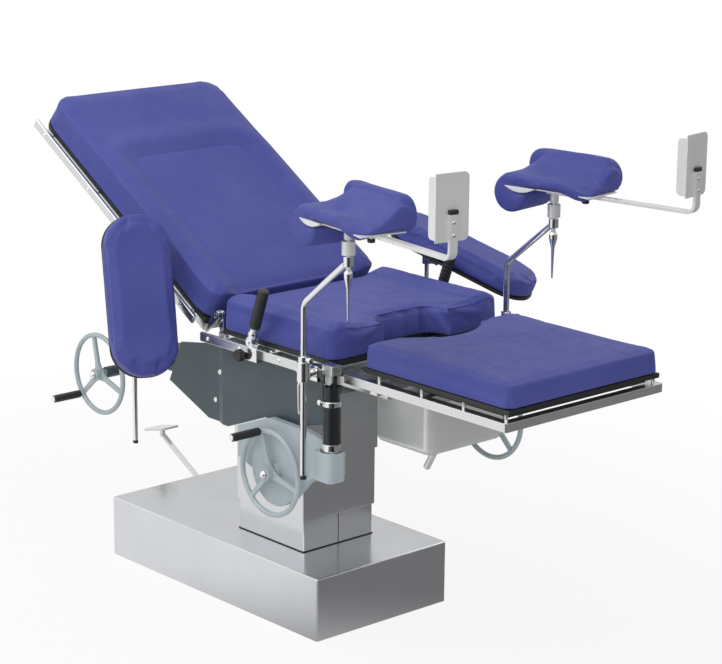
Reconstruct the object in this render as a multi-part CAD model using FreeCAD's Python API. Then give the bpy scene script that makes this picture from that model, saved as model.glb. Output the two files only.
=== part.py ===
import FreeCAD, Part
import math
import os

# Obstetric operating table, in millimetres.
# X runs to the foot end, -Y is the side with the tilt handwheel and Z is up.
# The origin is the middle of the base underside, on the floor.

Vector = FreeCAD.Vector
X_AXIS = Vector(1, 0, 0)
Y_AXIS = Vector(0, 1, 0)
Z_AXIS = Vector(0, 0, 1)
NEAR = -1
FAR = 1

# base
base_length = 908.0
base_width = 470.0
base_height = 174.0
base_corner = 8.0
sheet = 2.0
plate_thick = 8.0
sheet_clearance = 0.5
column_x = 132.5

# telescoping column
column_length = 275.0
column_width = 251.0
stage_gap = 3.0
hem_height = 10.0
lower_cover_top = 365.0
middle_cover_bottom = 262.0
middle_cover_height = 260.0
head_bottom = 425.0
head_top = 600.0
head_plate = 8.0
cylinder_radius = 42.0
cylinder_height = 330.0
ram_radius = 27.0
ram_bottom = 110.0
running_fit = 0.05

# tilt axis and its bearings
tilt_z = 640.0
tilt_shaft_radius = 15.0
bearing_y = 92.0
bearing_thick = 18.0
bearing_half = 34.0

# tabletop frame
frame_top = 789.0
frame_tube = 16.0
table_width = 600.0
frame_inset = 8.0
frame_width = table_width - 2 * frame_inset
frame_head_x = 118.0
frame_foot_x = 585.0
frame_bar = 30.0
board_thick = 12.0
rail_height = 25.0
rail_thick = 10.0
rail_standoff = 14.0
rail_mid_z = 770.5
seat_rail_start = 68.0
rail_head_gap = 29.0
corner_block_half = 21.0
corner_block_out = 31.0
corner_block_bottom = 776.0
corner_block_top = 800.0
standoff_radius = 7.0

# side plates
side_plate_thick = 5.0
side_plate_inset = 28.0
side_plate_step = 12.0

# cushions
cushion_gap = 0.3
seat_head_x = 132.0
seat_foot_x = 580.0
seat_top = 886.0
seat_notch_half = 105.0
seat_notch_depth = 65.0
foot_width = 540.0
foot_head_x = 652.0
foot_foot_x = 1173.0
foot_cushion_bottom = 800.0
foot_top = 862.0
foot_notch_half = 140.0
foot_notch_depth = 62.0
cushion_corner = 26.0
cushion_edge = 10.0

# back section, turned up about its hinge
back_angle = 31.3
hinge_x = 100.0
hinge_z = 830.0
back_start = 16.0
back_length = 878.0
back_cushion_bottom = -34.0
back_cushion_top = 44.0
back_board_thick = 12.0
back_tube = 22.0
back_corner = 60.0
hinge_pin_radius = 6.0
hinge_ear_thick = 8.0
seat_lug_inset = 21.0
back_ear_inset = 8.0
back_standoffs = (80.0, 330.0, 580.0, 830.0)
back_bars = (320.0, 600.0)

# foot section
ring_top = 772.0
ring_height = 22.0
ring_tube = 25.0
ring_margin = 7.0
ring_bar_x = 880.0
ring_head_x = 596.0
ring_foot_x = 1170.0
foot_board_thick = 12.0
foot_board_inset = 6.0
foot_pin_radius = 4.5
foot_pins = (712.0, 865.0, 1010.0, 1152.0)
foot_pin_inset = 19.0
runner_y = 225.0
runner_width = 25.0
runner_height = 25.0
runner_start = 300.0
runner_guides = (370.0, 500.0)
runner_end = 720.0
slide_clearance = 0.3

# waste pan
pan_head_x = 556.0
pan_foot_x = 766.0
pan_half_width = 135.0
pan_bottom = 562.0
pan_top = 712.0
pan_flange = 15.0
pan_sheet = 1.5
pan_corner = 25.0
spout_radius = 9.0
spout_length = 55.0

# handwheels: hub x, rim plane y, hub z, then the turn of the first spoke and of the grip in degrees
wheel_radius = 112.0
wheel_rim = 7.0
wheel_hub_inner = 7.0
wheel_hub_outer = 18.0
wheel_shaft_radius = 9.0
grip_radius = 11.0
grip_length = 90.0
short_grip_length = 14.0
grip_gap = 10.0
spindle_radius = 5.0
tilt_shaft_reach = 60.0
back_shaft_reach = 290.0
foot_shaft_reach = 45.0
tilt_wheel = (358.0, -(frame_width / 2 + 24), 462.0, 107.0, 107.0)
back_wheel = (-430.0, -(frame_width / 2 - 2), 558.0, 102.0, 222.0)
foot_wheel = (551.0, frame_width / 2 + 8, 541.0, 75.0, 75.0)

# tilt gear housing and strut
housing_out = 8.0
housing_thick = 20.0
wheel_boss = 8.0
strut_x = 588.0
strut_out = 13.0
strut_foot_z = 530.0
strut_top_z = 760.0
strut_outer = 23.0
strut_bore = 20.5
strut_inner = 19.5
strut_lower_top = 706.0
strut_bell_bottom = 563.0
strut_bell_top = 594.0
strut_upper_length = 146.0
strut_pin_radius = 5.0
strut_pocket = 29.0

# back drive
screw_z = 705.0
screw_radius = 10.0
screw_journal = 7.0
screw_head_x = -60.0
screw_foot_x = 230.0
lever_lean = 6.5
nut_travel_per_radian = 138.0
nut_half = 20.0
nut_width = 52.0
trunnion_radius = 6.0
fork_clearance = 3.5
fork_wall = 12.0
fork_thick = 8.0
fork_reach = 165.0

# pump pedal
pedal_y = 100.0
pedal_pivot_x = -395.0
pedal_pivot_z = 107.0
pedal_pad_x = -655.0
pedal_angle = 29.0
pedal_thick = 8.0
pedal_width = 14.0

# leg holders
leg_x = 540.0
leg_out = 30.0
post_radius = 8.0
post_bottom = 503.0
post_bend_z = 958.0
knuckle_x = 705.0
knuckle_z = 1092.0
knuckle_radius = 13.0
knuckle_half = 12.0
stem_radius = 6.0
rest_z = 1168.0
splay = 8.5
bar_length = 433.0
bar_height = 22.0
bar_thick = 8.0
foot_plate_height = 158.0
foot_plate_width = 92.0
foot_plate_lip = 28.0
foot_plate_sheet = 3.0
leg_clamp_half = 17.0
leg_clamp_arm = 22.0
clamp_lever_length = 118.0
lock_lever_tip = 944.0

# calf rest: a trough whose head end curls down
calf_head_x = -95.0
calf_foot_x = 150.0
calf_dip = 4.0
calf_curl_radius = 53.0
calf_curl_hole = 20.0
calf_shell_sheet = 3.0
calf_foam = 36.0
calf_half_width = 75.0
calf_curl_half_width = 52.0
calf_wing_height = 58.0
calf_wing_thick = 34.0
calf_wing_head_x = -50.0

# arm boards
arm_length = 440.0
arm_width = 186.0
arm_foam = 52.0
arm_board_thick = 8.0
arm_lug_offset = 65.0
arm_lug_reach = 22.0
arm_head_reach = 30.0
arm_head_below = 12.0
arm_post_radius = 6.5
arm_lug_x = 16.0
arm_lug_thick = 8.0
# post x, distance from the clamp face, lower end, hinge height, then the board's turn and tilt in degrees
arm_near = (-146.0, 47.0, 440.0, 919.0, 65.0, -20.0)
arm_far = (196.0, 60.0, 700.0, 903.0, 117.0, -68.0)

# hand grips
grip_x = 300.0
grip_out = 3.0
grip_pivot_z = 806.0
grip_eye_radius = 13.0
hand_grip_lean = 20.0
hand_grip_radius = 15.0
hand_grip_length = 112.0
knob_radius = 13.0
knob_x = 262.0

# values that follow from the ones above
stage_step = sheet + stage_gap
clamp_body = 12.0
clamp_face = frame_width / 2 + rail_standoff + rail_thick + clamp_body
back_rail_mid = back_cushion_bottom - back_board_thick - back_tube / 2 + 6
side_plate_y = frame_width / 2 - side_plate_inset
strut_knob_z = strut_lower_top - 14
strut_y = -(frame_width / 2 + strut_out)
housing_front_y = -(frame_width / 2 + housing_out)
ring_width = foot_width + 2 * ring_margin
foot_pin_y = ring_width / 2 - foot_pin_inset
seat_lug_y = frame_width / 2 - seat_lug_inset
back_ear_y = frame_width / 2 - back_ear_inset
leg_y = clamp_face + leg_out
grip_y = clamp_face + grip_out
fork_slot_top = hinge_z - screw_z - trunnion_radius - 4


def box(x0, x1, y0, y1, z0, z1):
    return Part.makeBox(x1 - x0, y1 - y0, z1 - z0, Vector(x0, y0, z0))


def cylinder(radius, height, base, axis=Z_AXIS):
    return Part.makeCylinder(radius, height, Vector(*base), axis)


def prism_xz(points, y0, y1):
    """Outline in the XZ plane, as thick as y0 to y1."""
    corners = [Vector(x, y0, z) for x, z in points]
    face = Part.Face(Part.makePolygon(corners + corners[:1]))
    return face.extrude(Vector(0, y1 - y0, 0))


def fuse(shapes):
    result = shapes[0]
    for shape in shapes[1:]:
        result = result.fuse(shape)
    return result.removeSplitter()


def moved(shape, x=0.0, y=0.0, z=0.0):
    copy = shape.copy()
    copy.translate(Vector(x, y, z))
    return copy


def turned(shape, degrees, axis, centre=(0.0, 0.0, 0.0)):
    copy = shape.copy()
    copy.rotate(Vector(*centre), axis, degrees)
    return copy


def mirrored(shape):
    """The same piece on the other side of the table."""
    return shape.mirror(Vector(0, 0, 0), Y_AXIS)


def round_edges(shape, radius, axis, select=None):
    """Fillet the straight edges that run along an axis."""
    chosen = []
    for edge in shape.Edges:
        ends = [vertex.Point for vertex in edge.Vertexes]
        if len(ends) != 2 or abs((ends[1] - ends[0]).normalize().dot(axis)) < 0.999:
            continue
        if select is None or select(edge.CenterOfMass):
            chosen.append(edge)
    return shape.makeFillet(radius, chosen)


def round_rim_y(shape, radius, y):
    """Fillet every edge that lies in the plane y."""
    chosen = [e for e in shape.Edges if abs(e.BoundBox.YMin - y) < 0.01 and abs(e.BoundBox.YMax - y) < 0.01]
    return shape.makeFillet(radius, chosen)


def round_rim(shape, radius, z):
    """Fillet every edge that lies in the plane z."""
    chosen = [e for e in shape.Edges if abs(e.BoundBox.ZMin - z) < 0.01 and abs(e.BoundBox.ZMax - z) < 0.01]
    return shape.makeFillet(radius, chosen)


def bent_rod(points, radius, bend):
    """Round rod along straight runs with one bend radius."""
    wire = rounded_path(points, bend)
    start = Vector(*points[0])
    along = (Vector(*points[1]) - start).normalize()
    profile = Part.Wire(Part.makeCircle(radius, start, along))
    return wire.makePipeShell([profile], True, True)


def rounded_path(points, bend):
    corners = [Vector(*p) for p in points]
    edges = []
    start = corners[0]
    for before, corner, after in zip(corners, corners[1:], corners[2:]):
        back = (before - corner).normalize()
        ahead = (after - corner).normalize()
        half = math.acos(back.dot(ahead)) / 2
        reach = bend / math.tan(half)
        middle = (back + ahead).normalize() * (bend / math.sin(half) - bend)
        edges.append(Part.makeLine(start, corner + back * reach))
        edges.append(Part.Arc(corner + back * reach, corner + middle, corner + ahead * reach).toShape())
        start = corner + ahead * reach
    edges.append(Part.makeLine(start, corners[-1]))
    return Part.Wire(edges)


def column_tube(grow, z0, z1, hem=True):
    """One sheet cover of the column, grow outside the lower one, with an inward hem."""
    half_x = column_length / 2 + grow
    half_y = column_width / 2 + grow
    outer = box(column_x - half_x, column_x + half_x, -half_y, half_y, z0, z1)
    outer = round_edges(outer, sheet + stage_gap, Z_AXIS)
    ix = half_x - sheet
    iy = half_y - sheet
    inner = box(column_x - ix, column_x + ix, -iy, iy, z0 - 1, z1 + 1)
    tube = outer.cut(inner)
    if not hem:
        return tube
    lip = stage_gap - sheet_clearance
    ring = box(column_x - ix, column_x + ix, -iy, iy, z0, z0 + hem_height)
    hole = box(column_x - ix + lip, column_x + ix - lip, -iy + lip, iy - lip,
               z0 - 1, z0 + hem_height + 1)
    return tube.fuse(ring.cut(hole)).removeSplitter()


def base_plate():
    inset = sheet + sheet_clearance
    plate = box(-base_length / 2 + inset, base_length / 2 - inset,
                -base_width / 2 + inset, base_width / 2 - inset, 0, plate_thick)
    plate = round_edges(plate, base_corner, Z_AXIS)
    ribs = []
    for y in (-column_width / 2, column_width / 2):
        ribs.append(box(column_x - 240, column_x + 240, y - 5, y + 5, plate_thick, plate_thick + 40))
    for side in (NEAR, FAR):
        ear_y = pedal_y + side * 14.3
        ear = box(pedal_pivot_x - 16, pedal_pivot_x + 16, ear_y - 3, ear_y + 3,
                  plate_thick, pedal_pivot_z + 14)
        ribs.append(ear)
    pin = cylinder(5.0, 36.0, (pedal_pivot_x, pedal_y - 18, pedal_pivot_z), Y_AXIS)
    return fuse([plate] + ribs + [pin])


def base_cover():
    half_x = base_length / 2
    half_y = base_width / 2
    outer = box(-half_x, half_x, -half_y, half_y, sheet_clearance, base_height)
    outer = round_edges(outer, base_corner, Z_AXIS)
    outer = round_rim(outer, base_corner / 2, base_height)
    inner = box(-half_x + sheet, half_x - sheet, -half_y + sheet, half_y - sheet, -1, base_height - sheet)
    inner = round_edges(inner, base_corner - sheet, Z_AXIS)
    well_x = column_length / 2 - 15
    well_y = column_width / 2 - 15
    well = box(column_x - well_x, column_x + well_x, -well_y, well_y, base_height - 10, base_height + 1)
    slot = box(-half_x - 1, -half_x + base_corner + 1, pedal_y - 11, pedal_y + 11, 92, base_height - 10)
    return outer.cut(inner).cut(well).cut(slot)


def lower_column_cover():
    return column_tube(0.0, base_height, lower_cover_top, hem=False)


def middle_column_cover():
    top = middle_cover_bottom + middle_cover_height
    return column_tube(stage_step, middle_cover_bottom, top)


def hydraulic_unit():
    cylinder_body = cylinder(cylinder_radius, cylinder_height, (column_x, 0, plate_thick))
    bore = cylinder(ram_radius + running_fit, cylinder_height, (column_x, 0, plate_thick + 10))
    pump = box(pedal_pivot_x + 90, pedal_pivot_x + 210, -50, 60, plate_thick, plate_thick + 90)
    pump = round_edges(pump, 8.0, Z_AXIS)
    piston = cylinder(12.0, 34.0, (pedal_pivot_x + 150, 0, plate_thick + 90))
    pipe = cylinder(5.0, column_x - pedal_pivot_x - 190, (pedal_pivot_x + 205, 0, plate_thick + 40), X_AXIS)
    return fuse([cylinder_body.cut(bore), pump, piston, pipe.cut(bore)])


def lift_ram():
    return cylinder(ram_radius, head_top - head_plate - ram_bottom, (column_x, 0, ram_bottom))


def column_head():
    grow = 2 * stage_step
    shell = column_tube(grow, head_bottom, head_top)
    half_x = column_length / 2 + grow
    half_y = column_width / 2 + grow
    lid = box(column_x - half_x + 1, column_x + half_x - 1, -half_y + 1, half_y - 1,
              head_top - head_plate, head_top)
    cheeks = []
    for side in (-1, 1):
        y0 = side * bearing_y - bearing_thick / 2
        foot = box(column_x - bearing_half, column_x + bearing_half, y0, y0 + bearing_thick,
                   head_top - 1, tilt_z)
        crown = cylinder(bearing_half, bearing_thick, (column_x, y0, tilt_z), Y_AXIS)
        cheeks.append(foot.fuse(crown))
    hole = cylinder(tilt_shaft_radius + running_fit, 2 * bearing_y + 60,
                    (column_x, -bearing_y - 30, tilt_z), Y_AXIS)
    return fuse([shell, lid] + cheeks).cut(hole)


def tilt_gear_housing():
    """Casting on the column head: gear case behind the handwheel and the shoulder under the strut."""
    x, y, z = tilt_wheel[:3]
    back_y = housing_front_y + housing_thick
    outline = [(207, 470), (207, 554), (335, 603), (487, 600), (strut_x - 10, 588), (strut_x + 24, 575),
               (strut_x + 24, 512), (503, 478), (430, 400)]
    plate = prism_xz(outline, housing_front_y, back_y)
    disc = cylinder(92.0, housing_thick, (x, housing_front_y, z), Y_AXIS)
    head_side = -(column_width / 2 + 2 * stage_step)
    neck = box(x - 62, x + 62, back_y - 1, head_side, 432, 520)
    neck_foot = box(column_x + 60, x - 60, head_side - 34, head_side, 440, 512)
    shoulder = box(strut_x - 36, strut_x + 30, strut_y - 32, back_y, 498, 575)
    shoulder = round_edges(shoulder, 14.0, Z_AXIS)
    boss = cylinder(26.0, wheel_boss, (x, housing_front_y - wheel_boss, z), Y_AXIS)
    body = fuse([plate, disc, neck, neck_foot, shoulder, boss])
    pocket = cylinder(strut_pocket, 90.0, (strut_x - 1, strut_y, 508))
    bore_start = housing_front_y - wheel_boss - 1
    shaft_bore = cylinder(wheel_shaft_radius + running_fit, tilt_shaft_reach, (x, bore_start, z), Y_AXIS)
    pin = cylinder(strut_pin_radius, 60.0, (strut_x, strut_y - 30, strut_foot_z), Y_AXIS)
    return body.cut(pocket).cut(shaft_bore).fuse(pin)


def strut_lower():
    """Outer strut tube with a bell over its foot, open at the top, and the eye of the lower pivot."""
    profile = [(0, strut_foot_z), (14, strut_foot_z), (strut_outer, 545), (strut_outer, strut_bell_bottom),
               (strut_outer + 2, strut_bell_bottom), (strut_bore + 1.2, strut_bell_top),
               (strut_outer, strut_bell_top), (strut_outer, strut_lower_top), (0, strut_lower_top)]
    corners = [Vector(r, 0, z) for r, z in profile]
    tube = Part.Face(Part.makePolygon(corners + corners[:1])).revolve(Vector(0, 0, 0), Z_AXIS, 360)
    tube = moved(tube, strut_x, strut_y)
    tube = tube.cut(cylinder(strut_bore, 400.0, (strut_x, strut_y, 546)))
    eye = cylinder(14.0, 20.0, (strut_x, strut_y - 10, strut_foot_z), Y_AXIS)
    boss = cylinder(8.0, 10.0, (strut_x - strut_outer - 5, strut_y, strut_knob_z), X_AXIS)
    boss = boss.cut(cylinder(strut_bore, 60.0, (strut_x, strut_y, strut_knob_z - 30)))
    hole = cylinder(strut_pin_radius + running_fit, 60.0, (strut_x, strut_y - 30, strut_foot_z), Y_AXIS)
    thread = cylinder(4.0 + running_fit, 30.0, (strut_x - strut_outer - 6, strut_y, strut_knob_z), X_AXIS)
    thread = thread.common(box(strut_x - strut_outer - 7, strut_x - 10, strut_y - 6, strut_y + 6,
                               strut_knob_z - 6, strut_knob_z + 6))
    return fuse([tube, eye, boss]).cut(hole).cut(thread)


def strut_knob():
    """Clamp screw at the top of the outer strut tube."""
    tip = strut_x - strut_bore - 0.3
    screw = cylinder(4.0, 16.0, (tip - 16, strut_y, strut_knob_z), X_AXIS)
    knob = cylinder(9.0, 11.0, (tip - 26, strut_y, strut_knob_z), X_AXIS)
    return screw.fuse(knob).removeSplitter()


def strut_upper():
    tube = cylinder(strut_inner, strut_upper_length - 16, (strut_x, strut_y, strut_top_z - strut_upper_length))
    neck = box(strut_x - 11, strut_x + 11, strut_y - 6, strut_y + 6, strut_top_z - 17, strut_top_z)
    eye = cylinder(12.0, 12.0, (strut_x, strut_y - 6, strut_top_z), Y_AXIS)
    hole = cylinder(strut_pin_radius + running_fit, 60.0, (strut_x, strut_y - 30, strut_top_z), Y_AXIS)
    return fuse([tube, neck, eye]).cut(hole)


def side_plates():
    """Two stepped sheet sides with the tilt shaft welded across them."""
    frame_bottom = frame_top - frame_tube
    outline = [(-145, 596), (-91, 714), (45, 737), (100, 750),
               (frame_head_x, frame_bottom), (511, frame_bottom),
               (511, 619), (373, 580), (283, 587), (127, 526), (28, 526)]
    y0 = side_plate_y
    y1 = side_plate_y - side_plate_step
    plan = [(-150, y1), (75, y1), (105, y0), (520, y0), (520, y0 + side_plate_thick),
            (103, y0 + side_plate_thick), (73, y1 + side_plate_thick), (-150, y1 + side_plate_thick)]
    corners = [Vector(x, y, 500) for x, y in plan]
    band = Part.Face(Part.makePolygon(corners + corners[:1])).extrude(Vector(0, 0, 300))
    plate = band.common(prism_xz(outline, 200, 300))
    hub = cylinder(30.0, side_plate_y - 212, (column_x, 212, tilt_z), Y_AXIS)
    half = plate.fuse(hub)
    shaft = cylinder(tilt_shaft_radius, 2 * 213.0, (column_x, -213, tilt_z), Y_AXIS)
    tie = box(-70, -40, -(y1 + 1), y1 + 1, 650, 680)
    return fuse([half, mirrored(half), shaft, tie])


def rail_bar(x0, x1, y_inner, z_mid):
    bar = box(x0, x1, y_inner, y_inner + rail_thick, z_mid - rail_height / 2, z_mid + rail_height / 2)
    return round_edges(bar, 2.0, X_AXIS)


def seat_frame():
    """Tube frame of the seat with the guides of the foot runners and the lugs of the back hinge."""
    bottom = frame_top - frame_tube
    half = frame_width / 2
    ring = box(frame_head_x, frame_foot_x, -half, half, bottom, frame_top)
    ring = ring.cut(box(frame_head_x + frame_bar, frame_foot_x - frame_bar,
                        -half + frame_bar, half - frame_bar, bottom - 1, frame_top + 1))
    pieces = [ring]
    for x in (250.0,) + runner_guides:
        pieces.append(box(x - 10, x + 10, -half + frame_bar - 1, half - frame_bar + 1, bottom, frame_top))
    hole_half = runner_width / 2 + slide_clearance
    runner_top = ring_top - ring_height - slide_clearance
    for side in (NEAR, FAR):
        y = side * runner_y
        for x in runner_guides:
            guide = box(x - 22, x + 22, y - 18, y + 18, runner_top - runner_height - 7, bottom + 1)
            tunnel = box(x - 23, x + 23, y - hole_half, y + hole_half,
                         runner_top - runner_height - slide_clearance, runner_top + slide_clearance)
            pieces.append(guide.cut(tunnel))
        lug_y = side * seat_lug_y
        lug = prism_xz([(frame_head_x + 2, bottom), (frame_head_x + 2, frame_top), (hinge_x + 12, hinge_z),
                        (hinge_x - 12, hinge_z), (hinge_x, hinge_z - 40), (hinge_x + 5, bottom)],
                       lug_y - hinge_ear_thick / 2, lug_y + hinge_ear_thick / 2)
        eye = cylinder(13.0, hinge_ear_thick, (hinge_x, lug_y - hinge_ear_thick / 2, hinge_z), Y_AXIS)
        inner_face = min(lug_y, side * back_ear_y) - hinge_ear_thick / 2
        pin = cylinder(hinge_pin_radius, 21.0, (hinge_x, inner_face, hinge_z), Y_AXIS)
        pieces += [lug, eye, pin]
    return fuse(pieces)


def corner_block(side):
    """Bright block at the end of a seat rail; the near one holds the top of the strut."""
    inner = frame_width / 2
    block = box(strut_x - corner_block_half, strut_x + corner_block_half, inner, inner + corner_block_out,
                corner_block_bottom, corner_block_top)
    block = round_edges(block, 4.0, Z_AXIS)
    lug = box(frame_foot_x - 16, frame_foot_x, inner, inner + 6,
              corner_block_bottom - 2, corner_block_bottom + 1)
    block = block.fuse(lug)
    if side == FAR:
        return block.removeSplitter()
    block = mirrored(block)
    for y0 in (strut_y - 13, strut_y + 7):
        ear = box(strut_x - 12, strut_x + 12, y0, y0 + 6, strut_top_z - 2, corner_block_bottom + 1)
        block = block.fuse(ear).fuse(cylinder(12.0, 6.0, (strut_x, y0, strut_top_z), Y_AXIS))
    pin = cylinder(strut_pin_radius, 26.0, (strut_x, strut_y - 13, strut_top_z), Y_AXIS)
    return block.fuse(pin).removeSplitter()


def seat_rails():
    """Side rails with their stand-offs, and the bright blocks at their foot ends."""
    inner = frame_width / 2 + rail_standoff
    end = strut_x - corner_block_half - cushion_gap
    rail = rail_bar(seat_rail_start, end, inner, rail_mid_z)
    for x in (160.0, 350.0, 500.0):
        spacer = cylinder(standoff_radius, rail_standoff,
                          (x, frame_width / 2, frame_top - frame_tube / 2), Y_AXIS)
        rail = rail.fuse(spacer)
    rail = rail.removeSplitter()
    return Part.makeCompound([mirrored(rail), rail, corner_block(NEAR), corner_block(FAR)])


def cushion_block(x0, x1, width, z0, z1):
    block = box(x0, x1, -width / 2, width / 2, z0, z1)
    return round_edges(block, cushion_corner, Z_AXIS)


def seat_cushion():
    bottom = frame_top + board_thick
    body = cushion_block(seat_head_x, seat_foot_x, table_width, bottom, seat_top)
    notch = box(seat_foot_x - seat_notch_depth, seat_foot_x + 50, -seat_notch_half, seat_notch_half,
                bottom - 1, seat_top + 1)
    notch = round_edges(notch, 45.0, Z_AXIS, lambda c: c.x < seat_foot_x)
    body = body.cut(notch)
    return round_rim(body, cushion_edge, seat_top)


def seat_board():
    inset = 8.5
    plate = box(seat_head_x + 4, seat_foot_x - inset, -table_width / 2 + inset, table_width / 2 - inset,
                frame_top, frame_top + board_thick)
    notch = box(seat_foot_x - seat_notch_depth - 10, seat_foot_x + 50,
                -seat_notch_half - 10, seat_notch_half + 10,
                frame_top - 1, frame_top + board_thick + 1)
    return plate.cut(notch)


def in_back(shape):
    """Turn a piece modelled flat toward the head end up to the back's angle, at the hinge."""
    return moved(turned(shape, back_angle, Y_AXIS), hinge_x, 0, hinge_z)


def back_cushion():
    body = box(-back_start - back_length, -back_start, -table_width / 2, table_width / 2,
               back_cushion_bottom, back_cushion_top)
    body = round_edges(body, back_corner, Z_AXIS, lambda c: c.x < -back_length / 2)
    body = round_edges(body, 14.0, Z_AXIS, lambda c: c.x > -back_length / 2)
    return in_back(round_rim(body, cushion_edge, back_cushion_top))


def back_board():
    top = back_cushion_bottom
    inset = 6.0
    plate = box(-back_start - back_length + inset, -back_start - inset,
                -table_width / 2 + inset, table_width / 2 - inset,
                top - back_board_thick, top)
    return in_back(round_edges(plate, back_corner - inset, Z_AXIS, lambda c: c.x < -back_length / 2))


def back_frame():
    """Tube frame under the back, its hinge ears and the fork that the lead nut pushes."""
    top = back_cushion_bottom - back_board_thick
    bottom = top - back_tube
    half = frame_width / 2
    far_end = -back_start - back_length + 10
    ring = box(far_end, -back_start, -half, half, bottom, top)
    ring = round_edges(ring, back_corner - 8, Z_AXIS, lambda c: c.x < -back_length / 2)
    ring = ring.cut(box(far_end + frame_bar, -back_start - frame_bar, -half + frame_bar, half - frame_bar,
                        bottom - 1, top + 1))
    pieces = [ring]
    for x in back_bars:
        pieces.append(box(-x - 10, -x + 10, -half + frame_bar - 1, half - frame_bar + 1, bottom, top))
    for side in (NEAR, FAR):
        y0 = side * back_ear_y - hinge_ear_thick / 2
        ear = prism_xz([(-46, bottom), (-8, bottom), (12, -4), (-12, -4), (-14, top), (-46, top)],
                       y0, y0 + hinge_ear_thick)
        eye = cylinder(13.0, hinge_ear_thick, (0, y0, 0), Y_AXIS)
        hole = cylinder(hinge_pin_radius + running_fit, hinge_ear_thick + 2, (0, y0 - 1, 0), Y_AXIS)
        pieces.append(ear.fuse(eye).cut(hole))
    lean = lever_lean - back_angle
    slot_half = trunnion_radius + fork_clearance
    tine_y = nut_width / 2 + 2
    for side in (NEAR, FAR):
        y0, y1 = sorted((side * tine_y, side * (tine_y + fork_thick)))
        tine = box(-slot_half - fork_wall, slot_half + fork_wall, y0, y1, -fork_reach, -88)
        slot = box(-slot_half, slot_half, y0 - 1, y1 + 1, -fork_reach - 1, -fork_slot_top)
        tine = turned(tine.cut(slot), lean, Y_AXIS)
        web = prism_xz([(-44, top), (-18, top), (-2, top - 20), (60, -84), (24, -100), (-44, bottom)], y0, y1)
        pieces.append(tine.fuse(web))
    return in_back(fuse(pieces))


def back_rails():
    inner = frame_width / 2 + rail_standoff
    rail = rail_bar(-back_start - back_length + 8, -back_start - rail_head_gap, inner, back_rail_mid)
    for x in back_standoffs:
        spacer = cylinder(standoff_radius, rail_standoff,
                          (-x, frame_width / 2, back_rail_mid - 6), Y_AXIS)
        rail = rail.fuse(spacer)
    rail = rail.removeSplitter()
    return in_back(Part.makeCompound([rail, mirrored(rail)]))


def foot_cushion():
    body = cushion_block(foot_head_x, foot_foot_x, foot_width, foot_cushion_bottom, foot_top)
    radius = (foot_notch_half ** 2 + foot_notch_depth ** 2) / (2 * foot_notch_depth)
    centre = foot_head_x + foot_notch_depth - radius
    notch = cylinder(radius, 200.0, (centre, 0, foot_cushion_bottom - 50))
    body = body.cut(notch)
    return round_rim(body, cushion_edge, foot_top)


def foot_board():
    top = foot_cushion_bottom
    plate = box(foot_head_x + foot_board_inset, foot_foot_x - foot_board_inset,
                -foot_width / 2 + foot_board_inset,
                foot_width / 2 - foot_board_inset, top - foot_board_thick, top)
    radius = (foot_notch_half ** 2 + foot_notch_depth ** 2) / (2 * foot_notch_depth) + foot_board_inset
    centre = foot_head_x + foot_notch_depth + foot_board_inset - radius
    return plate.cut(cylinder(radius, 200.0, (centre, 0, top - 100)))


def foot_frame():
    """Bright ring under the foot cushion, its pins, the runners and the hangers of the pan."""
    bottom = ring_top - ring_height
    half = ring_width / 2
    ring = box(ring_head_x, ring_foot_x, -half, half, bottom, ring_top)
    ring = round_edges(ring, 6.0, Z_AXIS)
    ring = ring.cut(box(ring_head_x + ring_tube, ring_foot_x - ring_tube, -half + ring_tube, half - ring_tube,
                        bottom - 1, ring_top + 1))
    pieces = [ring, box(ring_bar_x - 10, ring_bar_x + 10, -half + ring_tube - 1, half - ring_tube + 1,
                        bottom, ring_top)]
    pin_height = foot_cushion_bottom - foot_board_thick - ring_top + 1
    for x in foot_pins:
        for side in (NEAR, FAR):
            pieces.append(cylinder(foot_pin_radius, pin_height, (x, side * foot_pin_y, ring_top - 1)))
    low = bottom - slide_clearance - runner_height
    for side in (NEAR, FAR):
        y = side * runner_y
        pieces.append(box(runner_start, runner_end, y - runner_width / 2, y + runner_width / 2,
                          low, bottom - slide_clearance))
        pieces.append(box(ring_head_x + 2, runner_end, y - runner_width / 2, y + runner_width / 2,
                          bottom - slide_clearance - 1, bottom + 6))
        y0, y1 = sorted((side * (runner_y - 12), side * (half - 4)))
        pieces.append(box(runner_end - 26, runner_end, y0, y1, bottom - 10, bottom + 8))
    flange = pan_half_width + pan_flange
    for x in (ring_head_x + 14, runner_end - 14):
        pieces.append(box(x - 10, x + 10, -runner_y, runner_y, low, low + 12))
        for side in (NEAR, FAR):
            y0, y1 = sorted((side * (flange + 0.4), side * (flange + 6)))
            pieces.append(box(x - 10, x + 10, y0, y1, pan_top - 8, low + 1))
    for side in (NEAR, FAR):
        y0, y1 = sorted((side * (flange - 9), side * (flange + 6)))
        pieces.append(box(ring_head_x - 30, runner_end + 30, y0, y1,
                          pan_top - 8, pan_top - pan_sheet - slide_clearance))
    return fuse(pieces)


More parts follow.
